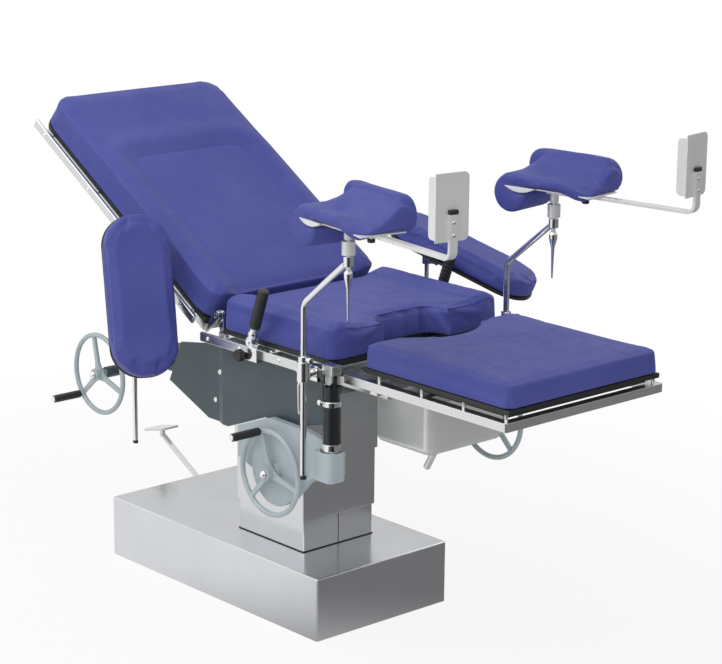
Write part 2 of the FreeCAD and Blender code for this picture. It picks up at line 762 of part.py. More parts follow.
def waste_pan():
    outer = box(pan_head_x, pan_foot_x, -pan_half_width, pan_half_width, pan_bottom, pan_top)
    outer = round_edges(outer, pan_corner, Z_AXIS)
    outer = round_rim(outer, pan_corner - 5, pan_bottom)
    s = pan_sheet
    inner = box(pan_head_x + s, pan_foot_x - s, -pan_half_width + s, pan_half_width - s,
                pan_bottom + s, pan_top + 1)
    inner = round_edges(inner, pan_corner - s, Z_AXIS)
    inner = round_rim(inner, pan_corner - 5 - s, pan_bottom + s)
    shell = outer.cut(inner)
    rim_outer = box(pan_head_x, pan_foot_x, -pan_half_width - pan_flange, pan_half_width + pan_flange,
                    pan_top - s, pan_top)
    rim_inner = box(pan_head_x + 14, pan_foot_x - 14, -pan_half_width + s, pan_half_width - s,
                    pan_top - s - 1, pan_top + 1)
    rim = rim_outer.cut(rim_inner)
    spout = cylinder(spout_radius, spout_length,
                     (pan_foot_x - 30, -pan_half_width + 45, pan_bottom - spout_length + 3))
    spout = turned(spout, 30, Y_AXIS, (pan_foot_x - 30, -pan_half_width + 45, pan_bottom))
    spout = spout.cut(outer)
    return Part.makeCompound([fuse([shell, rim]), spout])


def handwheel(place, shaft_reach, length=grip_length):
    """Three-spoke cast wheel, its shaft to one side and the spindle of its grip on the other."""
    x, y, z, spoke_turn, grip_turn = place
    outward = -1 if y < 0 else 1
    rim = Part.makeTorus(wheel_radius, wheel_rim, Vector(0, 0, 0), Y_AXIS)
    y0, y1 = sorted((outward * wheel_hub_outer, -outward * wheel_hub_inner))
    pieces = [rim, cylinder(17.0, y1 - y0, (0, y0, 0), Y_AXIS)]
    for index in range(3):
        spoke = prism_xz([(8, -14), (34, -7), (wheel_radius, -6), (wheel_radius, 6), (34, 7), (8, 14)], -4, 4)
        pieces.append(turned(spoke, -(spoke_turn + 120 * index), Y_AXIS))
    grip_x0 = wheel_radius * math.cos(math.radians(grip_turn))
    grip_z0 = wheel_radius * math.sin(math.radians(grip_turn))
    y0, y1 = sorted((0, outward * (grip_gap + length + 0.3)))
    pieces.append(cylinder(spindle_radius, y1 - y0, (grip_x0, y0, grip_z0), Y_AXIS))
    y0, y1 = sorted((0, -outward * shaft_reach))
    pieces.append(cylinder(wheel_shaft_radius, y1 - y0, (0, y0, 0), Y_AXIS))
    return moved(fuse(pieces), x, y, z)


def wheel_grip(place, length=grip_length):
    x, y, z, spoke_turn, grip_turn = place
    outward = -1 if y < 0 else 1
    x += wheel_radius * math.cos(math.radians(grip_turn))
    z += wheel_radius * math.sin(math.radians(grip_turn))
    y0, y1 = sorted((y + outward * grip_gap, y + outward * (grip_gap + length)))
    body = cylinder(grip_radius, length, (x, y0, z), Y_AXIS)
    return body.cut(cylinder(spindle_radius + running_fit, length + 2, (x, y0 - 1, z), Y_AXIS))


def back_drive_housing():
    """Bevel box at the head end, inclined torque tube and the bearings of the lead screw."""
    x, y, z = back_wheel[:3]
    case = box(x - 36, x + 36, -40, 40, z - 34, z + 34)
    case = round_edges(case, 10.0, Y_AXIS)
    shaft_tube = cylinder(16.0, -y - 40 - 22, (x, y + 22, z), Y_AXIS)
    start = Vector(x + 30, 0, z + 6)
    end = Vector(screw_head_x - 14, 0, screw_z - 24)
    tube = Part.makeCylinder(20.0, (end - start).Length, start, end - start)
    bearing_head = box(screw_head_x - 34, screw_head_x - 10, -22, 22, 650, screw_z + 16)
    bearing_foot = box(screw_foot_x + 10, screw_foot_x + 30, -22, 22, screw_z - 18, frame_top - frame_tube)
    body = fuse([case, shaft_tube, tube, bearing_head])
    body = body.cut(box(screw_head_x - 10, screw_head_x + 20, -60, 60, 640, 690))
    shaft_bore = cylinder(wheel_shaft_radius + running_fit, 400.0, (x, y - 10, z), Y_AXIS)
    shaft_bore = shaft_bore.common(box(x - 20, x + 20, y - 10, 20, z - 20, z + 20))
    screw_bore = cylinder(screw_journal + running_fit, 340.0, (screw_head_x - 24, 0, screw_z), X_AXIS)
    return Part.makeCompound([body.cut(shaft_bore).cut(screw_bore), bearing_foot.cut(screw_bore)])


def back_screw():
    journal = cylinder(screw_journal, screw_foot_x - screw_head_x + 46,
                       (screw_head_x - 22, 0, screw_z), X_AXIS)
    thread = cylinder(screw_radius, screw_foot_x - screw_head_x - 2, (screw_head_x + 1, 0, screw_z), X_AXIS)
    return journal.fuse(thread).removeSplitter()


def back_nut():
    """Lead nut with a trunnion each side for the fork of the back."""
    x = hinge_x - nut_travel_per_radian * math.radians(lever_lean)
    half = nut_width / 2
    block = box(x - nut_half, x + nut_half, -half, half, screw_z - 17, screw_z + 17)
    block = round_edges(block, 5.0, X_AXIS)
    trunnion = cylinder(trunnion_radius, nut_width + 2 * fork_thick + 8,
                        (x, -half - fork_thick - 4, screw_z), Y_AXIS)
    bore = cylinder(screw_radius + running_fit, 2 * nut_half + 2, (x - nut_half - 1, 0, screw_z), X_AXIS)
    return block.fuse(trunnion).cut(bore).removeSplitter()


def foot_drive_housing():
    """Gear case past the end of the far side plate, its flange on the plate and the snout under the runner."""
    x, y, z = foot_wheel[:3]
    plate_face = side_plate_y + side_plate_thick
    case = box(512, 590, 245, 284, z - 40, 738)
    case = round_edges(case, 12.0, Y_AXIS)
    flange = box(476, 513, plate_face, plate_face + 8, z + 90, 738)
    snout = box(525, 560, runner_y - 10, 246, 660, 716)
    boss = cylinder(24.0, 7.0, (x, 284, z), Y_AXIS)
    bore = cylinder(wheel_shaft_radius + running_fit, 60.0, (x, y - foot_shaft_reach - 1, z), Y_AXIS)
    return fuse([case, flange, snout, boss]).cut(bore)


def pump_pedal():
    length = (pedal_pivot_x - pedal_pad_x) / math.cos(math.radians(pedal_angle))
    arm = box(-length, 0, -pedal_width / 2, pedal_width / 2, -pedal_thick / 2, pedal_thick / 2)
    hub = cylinder(11.0, 22.0, (0, -11, 0), Y_AXIS)
    toe = box(0, 46, -pedal_width / 2, pedal_width / 2, -pedal_thick / 2, pedal_thick / 2)
    body = turned(fuse([arm, hub, toe]), pedal_angle, Y_AXIS)
    pad = box(-52, 52, -34, 34, -3, 3)
    pad = round_edges(pad, 16.0, Z_AXIS)
    pad = turned(pad, -13, Y_AXIS)
    pad_z = length * math.sin(math.radians(pedal_angle)) + 18
    stalk = cylinder(8.0, 24.0, (pedal_pad_x - pedal_pivot_x, 0, pad_z - 24))
    body = fuse([body, moved(pad, pedal_pad_x - pedal_pivot_x - 6, 0, pad_z), stalk])
    body = body.cut(cylinder(5.0 + running_fit, 40.0, (0, -20, 0), Y_AXIS))
    return moved(body, pedal_pivot_x, pedal_y, pedal_pivot_z)


def rail_jaw(x, half_width, side, z_mid):
    """Clamp jaw hooked over a rail, on the far side of the table when side is FAR."""
    inner = frame_width / 2 + rail_standoff
    half = rail_height / 2
    jaw = box(x - half_width, x + half_width, inner - 5, inner + rail_thick + clamp_body,
              z_mid - half - 8, z_mid + half + 8)
    slot = box(x - half_width - 1, x + half_width + 1, inner, inner + rail_thick, z_mid - half, z_mid + half)
    mouth = box(x - half_width - 1, x + half_width + 1, inner - 6, inner + 1, z_mid - 20, z_mid + half - 6)
    jaw = round_edges(jaw, 4.0, X_AXIS).cut(slot).cut(mouth)
    return jaw if side == FAR else mirrored(jaw)


def leg_clamp():
    """Rail clamp, the arm of its clamp screw and the split socket of the leg post."""
    jaw = rail_jaw(leg_x, leg_clamp_half, FAR, rail_mid_z)
    neck = cylinder(15.0, leg_y - clamp_face, (leg_x, clamp_face - 1, rail_mid_z + 6), Y_AXIS)
    socket = cylinder(17.0, 50.0, (leg_x, leg_y, rail_mid_z - 14))
    x1 = leg_x - leg_clamp_half
    arm = box(x1 - leg_clamp_arm, x1 + 1, clamp_face - 10, clamp_face + 8, rail_mid_z - 9, rail_mid_z + 9)
    arm = round_edges(arm, 6.0, X_AXIS)
    bore = cylinder(post_radius + running_fit, 80.0, (leg_x, leg_y, rail_mid_z - 30))
    screw_hole = cylinder(5.0 + running_fit, leg_clamp_arm,
                          (x1 - leg_clamp_arm - 1, clamp_face, rail_mid_z), X_AXIS)
    return fuse([jaw, neck, socket, arm]).cut(bore).cut(screw_hole)


def leg_clamps():
    clamp = leg_clamp()
    return Part.makeCompound([mirrored(clamp), clamp])


def leg_clamp_lever(side):
    """Wing lever on the clamp screw, hanging down."""
    y = clamp_face
    x1 = leg_x - leg_clamp_half - leg_clamp_arm
    pin = cylinder(5.0, leg_clamp_arm - 4, (x1 - 2, y, rail_mid_z), X_AXIS)
    head = cylinder(10.0, 16.0, (x1 - 16.5, y, rail_mid_z), X_AXIS)
    neck = cylinder(4.0, 24.0, (x1 - 8.5, y, rail_mid_z - 30))
    blade = Part.makeCone(7.5, 5.0, clamp_lever_length - 28,
                          Vector(x1 - 8.5, y, rail_mid_z - 28), Vector(0, 0, -1))
    lever = fuse([pin, head, neck, blade])
    return lever if side == FAR else mirrored(lever)


def leg_collar(side):
    """Stop collar that carries the post on its clamp."""
    top = rail_mid_z + 36
    ring = cylinder(14.0, 14.0, (leg_x, side * leg_y, top + 0.2))
    screw = cylinder(5.0, 12.0, (leg_x + 13, side * leg_y, top + 7), X_AXIS)
    knob = cylinder(8.0, 8.0, (leg_x + 22, side * leg_y, top + 7), X_AXIS)
    bore = cylinder(post_radius + running_fit, 30.0, (leg_x, side * leg_y, top - 5))
    return fuse([ring, screw, knob]).cut(bore)


def leg_post(side):
    y = side * leg_y
    path = [(leg_x, y, post_bottom), (leg_x, y, post_bend_z), (knuckle_x, y, knuckle_z)]
    rod = bent_rod(path, post_radius, 40.0)
    eye = cylinder(knuckle_radius, 2 * knuckle_half, (knuckle_x, y, knuckle_z - knuckle_half))
    bore = cylinder(stem_radius + running_fit, 80.0, (knuckle_x, y, knuckle_z - 40))
    return rod.fuse(eye).removeSplitter().cut(bore)


def leg_lock_lever(side):
    """Drop-shaped nut with a long taper below the knuckle."""
    top = knuckle_z - knuckle_half - 12
    profile = [Vector(0, 0, lock_lever_tip), Vector(2.0, 0, lock_lever_tip), Vector(4.5, 0, top - 44),
               Vector(11.0, 0, top - 18), Vector(11.0, 0, top - 6), Vector(8.0, 0, top), Vector(0, 0, top)]
    body = Part.Face(Part.makePolygon(profile + profile[:1])).revolve(Vector(0, 0, 0), Z_AXIS, 360)
    bore = cylinder(stem_radius + running_fit, 20.0, (0, 0, top - 12))
    return moved(body.cut(bore), knuckle_x, side * leg_y)


def calf_profile(low, high):
    """Band in the XZ plane between two heights over the shell line, flat and then dipping to the foot end."""
    flat_end = calf_foot_x - 70
    edges = [Part.makeLine(Vector(calf_head_x, 0, low), Vector(calf_head_x, 0, high)),
             Part.makeLine(Vector(calf_head_x, 0, high), Vector(flat_end, 0, high)),
             dip_arc(flat_end, high),
             Part.makeLine(Vector(calf_foot_x, 0, high - calf_dip), Vector(calf_foot_x, 0, low - calf_dip)),
             dip_arc(flat_end, low),
             Part.makeLine(Vector(flat_end, 0, low), Vector(calf_head_x, 0, low))]
    return Part.Face(Part.Wire(Part.__sortEdges__(edges)))


def dip_arc(start, z):
    middle = (start + calf_foot_x) / 2
    line = Part.Arc(Vector(start, 0, z), Vector(middle, 0, z - calf_dip * 0.27),
                    Vector(calf_foot_x, 0, z - calf_dip))
    return line.toShape()


def leg_place(shape, side):
    """Put a piece modelled about the stem onto its holder, splayed outward."""
    return moved(turned(shape, side * splay, Z_AXIS), knuckle_x, side * leg_y)


def calf_shell(side):
    """Sheet saddle with the stem, the clamp collar and the channel of the foot bar."""
    body = calf_profile(0.0, calf_shell_sheet).extrude(Vector(0, 2 * calf_half_width - 20, 0))
    body = moved(body, 0, -calf_half_width + 10, rest_z + 18)
    curl_x = calf_head_x - 30
    tongue = box(curl_x, calf_head_x + 1, -calf_curl_half_width + 4, calf_curl_half_width - 4,
                 rest_z + 18, rest_z + 18 + calf_shell_sheet)
    stem_bottom = knuckle_z - knuckle_half - 18
    stem = cylinder(stem_radius, rest_z + 1 - stem_bottom, (0, 0, stem_bottom))
    collar = cylinder(17.0, 34.0, (0, 0, knuckle_z + knuckle_half + 4))
    socket = cylinder(12.0, 24.0, (0, 0, rest_z - 21))
    half = bar_height / 2
    channel = box(-16, 120, -half - 3, half + 3, rest_z + 2, rest_z + 18)
    tunnel = box(-17, 121, -half - slide_clearance, half + slide_clearance,
                 rest_z + 5 - slide_clearance, rest_z + 5 + bar_thick + slide_clearance)
    return leg_place(fuse([body, tongue, stem, collar, socket, channel]).cut(tunnel), side)


def calf_pad(side):
    """Foam over the shell, curled round its head end, with the raised wing along its far edge."""
    low = calf_shell_sheet + cushion_gap
    body = calf_profile(low, low + calf_foam).extrude(Vector(0, 2 * calf_half_width, 0))
    body = moved(body, 0, -calf_half_width, rest_z + 18)
    centre_z = rest_z + 18 + low + calf_foam - calf_curl_radius
    curl = cylinder(calf_curl_radius, 2 * calf_curl_half_width,
                    (calf_head_x, -calf_curl_half_width, centre_z), Y_AXIS)
    hollow_top = rest_z + 18 - cushion_gap
    hollow = cylinder(calf_curl_hole, 2 * calf_half_width + 20, (calf_head_x + 6, -calf_half_width - 10,
                                                                  hollow_top - calf_curl_hole + 8), Y_AXIS)
    slit = box(calf_head_x - 31, calf_head_x + 90, -calf_half_width - 10, calf_half_width + 10,
               hollow_top - 12, rest_z + 18 + low)
    wing_foot_x = calf_foot_x - 12
    z0 = rest_z + 18 + low
    wing = box(calf_wing_head_x, wing_foot_x, calf_half_width, calf_half_width + calf_wing_thick,
               z0 - calf_dip, z0 + calf_foam + calf_wing_height)
    wing = round_edges(wing, 34.0, Y_AXIS, lambda c: c.z > z0 + calf_foam)
    return leg_place(fuse([body, curl.cut(hollow).cut(slit), wing]), side)


def foot_bar(side):
    """Flat bar in the channel, bent up behind the foot plate."""
    z0 = rest_z + 5
    half = bar_height / 2
    bend = 26.0
    plate_z = z0 + 46
    flat = box(30, bar_length - bend, -half, half, z0, z0 + bar_thick)
    upright = box(bar_length - bar_thick, bar_length, -half, half, z0 + bend, plate_z + 70)
    ring = cylinder(bend, bar_height, (bar_length - bend, -half, z0 + bend), Y_AXIS)
    ring = ring.cut(cylinder(bend - bar_thick, bar_height, (bar_length - bend, -half, z0 + bend), Y_AXIS))
    ring = ring.common(box(bar_length - bend, bar_length, -half, half, z0, z0 + bend))
    t = foot_plate_sheet
    face = bar_length - bar_thick
    plate = box(face - t, face, -foot_plate_width / 2, foot_plate_width / 2,
                plate_z, plate_z + foot_plate_height)
    plate = round_edges(plate, 14.0, X_AXIS, lambda c: c.y > 0)
    lip = box(face - foot_plate_lip, face, -foot_plate_width / 2, -foot_plate_width / 2 + t, plate_z + 6,
              plate_z + foot_plate_height - 8)
    lip = round_edges(lip, 12.0, Y_AXIS, lambda c: c.x < face - foot_plate_lip / 2)
    return leg_place(fuse([flat, upright, ring, plate, lip]), side)


def arm_board(side):
    """Board and pad, modelled upright with the pad toward -Y and the hinge at the origin."""
    x, out, low, hinge, turn, tilt = arm_near if side == NEAR else arm_far
    y = side * (clamp_face + out)
    half = arm_width / 2

    def slab(y0, y1, inset):
        piece = box(-half + inset, half - inset, y0, y1, -arm_length / 2 + inset, arm_length / 2 - inset)
        return moved(round_edges(piece, half - 6 - inset, Y_AXIS), 0, 0, -arm_lug_offset)

    board_back = -arm_lug_reach
    pad_back = board_back - arm_board_thick - cushion_gap
    plate = slab(board_back - arm_board_thick, board_back, 2.0)
    pad = slab(pad_back - arm_foam, pad_back, 0.0)
    pad = round_rim_y(pad, 18.0, pad_back - arm_foam)
    lug_half = arm_lug_thick / 2
    lugs = [box(side_x - lug_half, side_x + lug_half, board_back - 1, 9, -12, 12)
            for side_x in (-arm_lug_x, arm_lug_x)]
    hinge_pin = cylinder(5.0, 46.0, (-23, 0, 0), X_AXIS)
    shape = Part.makeCompound([fuse([plate] + lugs + [hinge_pin]), pad])
    shape = turned(turned(shape, tilt, X_AXIS), turn, Z_AXIS)
    turn = math.radians(turn)
    return moved(shape, x + arm_head_reach * math.sin(turn), y - arm_head_reach * math.cos(turn), hinge)


def arm_bracket(side):
    """Upright post with the swivel head that carries the board's hinge."""
    x, out, low, hinge, turn, tilt = arm_near if side == NEAR else arm_far
    y = side * (clamp_face + out)
    post = cylinder(arm_post_radius, hinge - low + 18, (0, 0, low))
    cap = cylinder(14.0, arm_head_below + 16, (0, 0, hinge - arm_head_below))
    arm = box(-11, 11, -arm_head_reach, 0, hinge - 10, hinge + 10)
    eye = cylinder(10.0, 22.0, (-11, -arm_head_reach, hinge), X_AXIS)
    hole = cylinder(5.0 + running_fit, 60.0, (-30, -arm_head_reach, hinge), X_AXIS)
    return moved(turned(fuse([post, cap, arm, eye]).cut(hole), turn, Z_AXIS), x, y)


def arm_clamp_near():
    """Clamp on the back rail, in line with the back, with an upright socket."""
    x, out, low, hinge, turn, tilt = arm_near
    y = -(clamp_face + out)
    lean = math.radians(back_angle)
    along = (hinge_x + back_rail_mid * math.sin(lean) - x) / math.cos(lean)
    jaw = in_back(rail_jaw(-along, 18.0, NEAR, back_rail_mid))
    centre_z = hinge_z + along * math.sin(lean) + back_rail_mid * math.cos(lean)
    face = -clamp_face
    low_z = hinge - arm_head_below - 1 - 34
    block = box(x - 13, x + 13, y - 13, face + 1, low_z, low_z + 34)
    block = round_edges(block, 6.0, Z_AXIS, lambda c: c.y < face - 5)
    back_plate = box(x - 13, x + 13, face - 7, face + 1, low_z, centre_z + 14)
    bore = cylinder(arm_post_radius + running_fit, 80.0, (x, y, low_z - 20))
    return fuse([jaw, block, back_plate]).cut(bore)


def accessory_clamps():
    """Rail clamps of the two hand grips and of the far arm board."""
    clamps = [mirrored(grip_clamp()), grip_clamp()]
    x, out, low, hinge, turn, tilt = arm_far
    y = clamp_face + out
    jaw = rail_jaw(x, 18.0, FAR, rail_mid_z)
    block = box(x - 13, x + 13, clamp_face - 1, y + 13, rail_mid_z - 16, rail_mid_z + 16)
    block = round_edges(block, 6.0, Z_AXIS, lambda c: c.y > clamp_face + 5)
    bore = cylinder(arm_post_radius + running_fit, 80.0, (x, y, rail_mid_z - 40))
    return Part.makeCompound(clamps + [fuse([jaw, block]).cut(bore)])


def grip_clamp():
    """Jaw with the pivot of a hand grip above it and the arm of its clamp screw beside it."""
    jaw = rail_jaw(grip_x, 18.0, FAR, rail_mid_z)
    ear = box(grip_x - 12, grip_x + 12, grip_y - 17, grip_y - 11,
              rail_mid_z + rail_height / 2 + 2, grip_pivot_z)
    crown = cylinder(12.0, 6.0, (grip_x, grip_y - 17, grip_pivot_z), Y_AXIS)
    pin = cylinder(5.0, 30.0, (grip_x, grip_y - 16, grip_pivot_z), Y_AXIS)
    stub = box(knob_x - 9, grip_x - 17, clamp_face - 10, clamp_face, rail_mid_z - 18, rail_mid_z + 2)
    stub = round_edges(stub, 8.0, Y_AXIS, lambda c: c.x < knob_x)
    screw_hole = cylinder(4.0 + running_fit, 20.0, (knob_x, clamp_face - 15, rail_mid_z - 8), Y_AXIS)
    return fuse([jaw, ear, crown, pin, stub]).cut(screw_hole)


def hand_grip(side):
    """Black handle on a bright stem and eye, leaning to the foot end."""
    y = grip_y
    eye = cylinder(grip_eye_radius, 21.0, (grip_x, y - 10.5, grip_pivot_z), Y_AXIS)
    stem = cylinder(8.0, 50.0, (grip_x, y, grip_pivot_z))
    handle = cylinder(hand_grip_radius, hand_grip_length, (grip_x, y, grip_pivot_z + 42))
    handle = round_rim(handle, 5.0, grip_pivot_z + 42 + hand_grip_length)
    body = turned(fuse([eye, stem, handle]), hand_grip_lean, Y_AXIS, (grip_x, y, grip_pivot_z))
    body = body.cut(cylinder(5.0 + running_fit, 60.0, (grip_x, y - 30, grip_pivot_z), Y_AXIS))
    return body if side == FAR else mirrored(body)


def grip_knob(side):
    z = rail_mid_z - 8
    screw = cylinder(4.0, 16.0, (knob_x, clamp_face - 9, z), Y_AXIS)
    knob = cylinder(knob_radius, 17.0, (knob_x, clamp_face + 1, z), Y_AXIS)
    body = screw.fuse(knob).removeSplitter()
    return body if side == FAR else mirrored(body)


def build():
    parts = {
        "base_plate": base_plate(),
        "base_cover": base_cover(),
        "lower_column_cover": lower_column_cover(),
        "hydraulic_unit": hydraulic_unit(),
        "middle_column_cover": middle_column_cover(),
        "column_head": column_head(),
        "lift_ram": lift_ram(),
        "tilt_gear_housing": tilt_gear_housing(),
        "strut_lower": strut_lower(),
        "strut_knob": strut_knob(),
        "strut_upper": strut_upper(),
        "side_plates": side_plates(),
        "seat_frame": seat_frame(),
        "seat_rails": seat_rails(),
        "seat_board": seat_board(),
        "seat_cushion": seat_cushion(),
        "back_drive_housing": back_drive_housing(),
        "foot_drive_housing": foot_drive_housing(),
        "accessory_clamps": accessory_clamps(),
        "leg_clamps": leg_clamps(),
        "back_frame": back_frame(),
        "back_board": back_board(),
        "back_rails": back_rails(),
        "back_cushion": back_cushion(),
        "arm_clamp_near": arm_clamp_near(),
        "back_screw": back_screw(),
        "back_nut": back_nut(),
        "foot_frame": foot_frame(),
        "foot_board": foot_board(),
        "foot_cushion": foot_cushion(),
        "waste_pan": waste_pan(),
        "tilt_handwheel": handwheel(tilt_wheel, tilt_shaft_reach),
        "back_handwheel": handwheel(back_wheel, back_shaft_reach),
        "foot_handwheel": handwheel(foot_wheel, foot_shaft_reach, short_grip_length),
        "tilt_wheel_grip": wheel_grip(tilt_wheel),
        "back_wheel_grip": wheel_grip(back_wheel),
        "foot_wheel_grip": wheel_grip(foot_wheel, short_grip_length),
        "pump_pedal": pump_pedal(),
    }
    for name, side in (("near", NEAR), ("far", FAR)):
        parts["leg_clamp_lever_" + name] = leg_clamp_lever(side)
        parts["leg_collar_" + name] = leg_collar(side)
        parts["leg_post_" + name] = leg_post(side)
        parts["leg_lock_lever_" + name] = leg_lock_lever(side)
        parts["calf_shell_" + name] = calf_shell(side)
        parts["calf_pad_" + name] = calf_pad(side)
        parts["foot_bar_" + name] = foot_bar(side)
        parts["arm_bracket_" + name] = arm_bracket(side)
        parts["arm_board_" + name] = arm_board(side)
        parts["hand_grip_" + name] = hand_grip(side)
        parts["grip_knob_" + name] = grip_knob(side)
    return parts


os.makedirs("parts", exist_ok=True)
for node, shape in build().items():
    shape.exportStep("parts/" + node + ".step")
    print(node, len(shape.Solids), round(shape.Volume / 1000.0, 1), "cm3")
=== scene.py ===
import bpy
import math
from mathutils import Matrix, Vector


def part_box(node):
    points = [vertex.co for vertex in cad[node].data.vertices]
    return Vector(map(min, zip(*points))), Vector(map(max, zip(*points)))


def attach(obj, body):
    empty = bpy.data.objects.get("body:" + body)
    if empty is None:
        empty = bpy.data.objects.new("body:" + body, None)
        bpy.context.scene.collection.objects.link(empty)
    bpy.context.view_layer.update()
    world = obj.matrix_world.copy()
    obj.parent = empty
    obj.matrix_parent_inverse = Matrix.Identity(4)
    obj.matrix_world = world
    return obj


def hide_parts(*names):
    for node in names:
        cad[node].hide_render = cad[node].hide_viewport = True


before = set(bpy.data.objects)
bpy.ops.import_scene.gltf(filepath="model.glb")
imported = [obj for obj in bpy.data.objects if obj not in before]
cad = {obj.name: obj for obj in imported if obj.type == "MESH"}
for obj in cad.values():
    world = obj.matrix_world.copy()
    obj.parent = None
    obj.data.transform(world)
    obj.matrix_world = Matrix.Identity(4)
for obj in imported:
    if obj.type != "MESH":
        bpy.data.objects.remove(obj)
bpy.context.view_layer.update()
scene = bpy.context.scene
scene.view_settings.view_transform = "Standard"

# The photographer's camera, a long lens from the foot end on the near side.
# It stands about 4.8 m toward the foot, 4 m out and 2.3 m up, and looks a little down.
yaw, pitch, roll = math.radians(47.99), math.radians(14.41), math.radians(0.55)
forward = Vector((-math.sin(yaw) * math.cos(pitch), math.cos(yaw) * math.cos(pitch), -math.sin(pitch)))
level_right = Vector((math.cos(yaw), math.sin(yaw), 0))
level_up = level_right.cross(forward)
image_right = level_right * math.cos(roll) + level_up * math.sin(roll)
image_up = level_up * math.cos(roll) - level_right * math.sin(roll)
lens_data = bpy.data.cameras.new("camera")
lens_data.lens = 116.87
lens_data.sensor_width = 36
lens_data.clip_end = 200
camera = bpy.data.objects.new("camera", lens_data)
scene.collection.objects.link(camera)
camera.matrix_world = Matrix.Translation((4.8285, -4.0290, 2.3344)) @ Matrix(
    (image_right, image_up, -forward)).transposed().to_4x4()
scene.camera = camera


# The room: a white sweep of floor, even light from all round and three large soft lamps.
# Metal sees this room darker toward the foot end and behind the camera, so that its edges stand out; on the
# floor that darkening is painted shade.
def put(tree, kind, inputs=None, **settings):
    made = tree.nodes.new("ShaderNode" + kind)
    for key, value in settings.items():
        setattr(made, key, value)
    for key, value in (inputs or {}).items():
        made.inputs[key].default_value = value
    return made


def wire(tree, *pairs):
    for source, target in pairs:
        tree.links.new(source, target)


def calc(tree, operation, first, second=0.5, clamp=False):
    made = put(tree, "Math", operation=operation, use_clamp=clamp)
    for socket, value in zip(made.inputs, (first, second)):
        if isinstance(value, (int, float)):
            socket.default_value = value
        else:
            tree.links.new(value, socket)
    return made.outputs[0]


def blend_colour(tree, share, first, second):
    made = put(tree, "Mix", data_type="RGBA")
    for index, value in ((0, share), (6, first), (7, second)):
        if isinstance(value, (int, float, tuple)):
            made.inputs[index].default_value = value
        else:
            tree.links.new(value, made.inputs[index])
    return made.outputs[2]


def ramp(tree, value, low, high, out_low=0.0, out_high=1.0):
    made = put(tree, "MapRange", {1: low, 2: high, 3: out_low, 4: out_high}, interpolation_type="SMOOTHSTEP")
    tree.links.new(value, made.inputs[0])
    return made.outputs[0]


world = bpy.data.worlds.new("studio")
scene.world = world
world.use_nodes = True
sky = world.node_tree
sky.nodes.clear()
direction = put(sky, "TexCoord").outputs["Generated"]
toward_lamp = put(sky, "VectorMath", operation="DOT_PRODUCT")
toward_lamp.inputs[1].default_value = (-0.25, -0.45, 0.86)
toward_camera = put(sky, "VectorMath", operation="DOT_PRODUCT")
toward_camera.inputs[1].default_value = (0.749, -0.663, 0.0)
wire(sky, (direction, toward_lamp.inputs[0]), (direction, toward_camera.inputs[0]))
softbox = ramp(sky, toward_lamp.outputs["Value"], -0.35, 0.8, 0.45, 1.15)
doorway = ramp(sky, toward_camera.outputs["Value"], 0.93, 0.985, 1.0, 0.12)
seen_by_metal = calc(sky, "MULTIPLY", softbox, doorway)
path = put(sky, "LightPath")
room_level = put(sky, "Mix", data_type="FLOAT")
room_level.inputs[2].default_value = 0.55
wire(sky, (path.outputs["Is Glossy Ray"], room_level.inputs[0]), (seen_by_metal, room_level.inputs[3]))
straight = calc(sky, "MAXIMUM", path.outputs["Is Camera Ray"], path.outputs["Is Transmission Ray"])
level = put(sky, "Mix", data_type="FLOAT")
level.inputs[3].default_value = 1.0
background = put(sky, "Background", {"Color": (1, 1, 1, 1)})
wire(sky, (straight, level.inputs[0]), (room_level.outputs[0], level.inputs[2]),
     (level.outputs[0], background.inputs["Strength"]),
     (background.outputs[0], put(sky, "OutputWorld").inputs["Surface"]))


def lamp(name, place, target, size, power):
    data = bpy.data.lights.new(name, "AREA")
    data.shape = "DISK"
    data.size = size
    data.energy = power
    made = bpy.data.objects.new(name, data)
    scene.collection.objects.link(made)
    made.location = place
    made.rotation_euler = (Vector(target) - Vector(place)).to_track_quat("-Z", "Y").to_euler()


lamp("overhead_lamp", (-0.6, -1.9, 3.6), (0.3, 0, 0.7), 3.2, 60)
lamp("front_lamp", (3.4, -2.6, 1.7), (0.3, 0, 0.7), 2.6, 22)
lamp("far_side_lamp", (0.6, 3.4, 2.6), (0.2, 0, 0.8), 2.4, 20)

bpy.ops.mesh.primitive_plane_add(size=90, location=(0, 0, -0.0008))
floor = bpy.context.object
floor.name = "floor"
paper = bpy.data.materials.new("white_paper")
paper.use_nodes = True
tree = paper.node_tree
tree.nodes.clear()
mottle = put(tree, "TexNoise", {"Scale": 3.0, "Detail": 2.0})
matt = put(tree, "BsdfDiffuse")
wire(tree, (put(tree, "TexCoord").outputs["Object"], mottle.inputs["Vector"]),
     (blend_colour(tree, mottle.outputs["Fac"], (0.84, 0.84, 0.84, 1), (0.88, 0.88, 0.88, 1)),
      matt.inputs["Color"]))
place = put(tree, "TexCoord").outputs["Object"]
away = put(tree, "VectorMath", operation="LENGTH")
toward_foot = put(tree, "VectorMath", operation="DOT_PRODUCT")
toward_foot.inputs[1].default_value = (0.74, 0.67, 0)
wire(tree, (place, away.inputs[0]), (place, toward_foot.inputs[0]))
paper_share = ramp(tree, away.outputs["Value"], 1.1, 2.6, 0.86, 1.0)
toward_camera = put(tree, "VectorMath", operation="DOT_PRODUCT")
toward_camera.inputs[1].default_value = (0.743, -0.669, 0)
across = put(tree, "VectorMath", operation="DOT_PRODUCT")
across.inputs[1].default_value = (0.669, 0.743, 0)
wire(tree, (place, toward_camera.inputs[0]), (place, across.inputs[0]))
spread = calc(tree, "DIVIDE", calc(tree, "ABSOLUTE", across.outputs["Value"]),
              calc(tree, "MAXIMUM", toward_camera.outputs["Value"], 0.01))
strip = calc(tree, "MULTIPLY", ramp(tree, spread, 0.40, 0.62, 1.0, 0.0),
             ramp(tree, toward_camera.outputs["Value"], 1.3, 2.0))
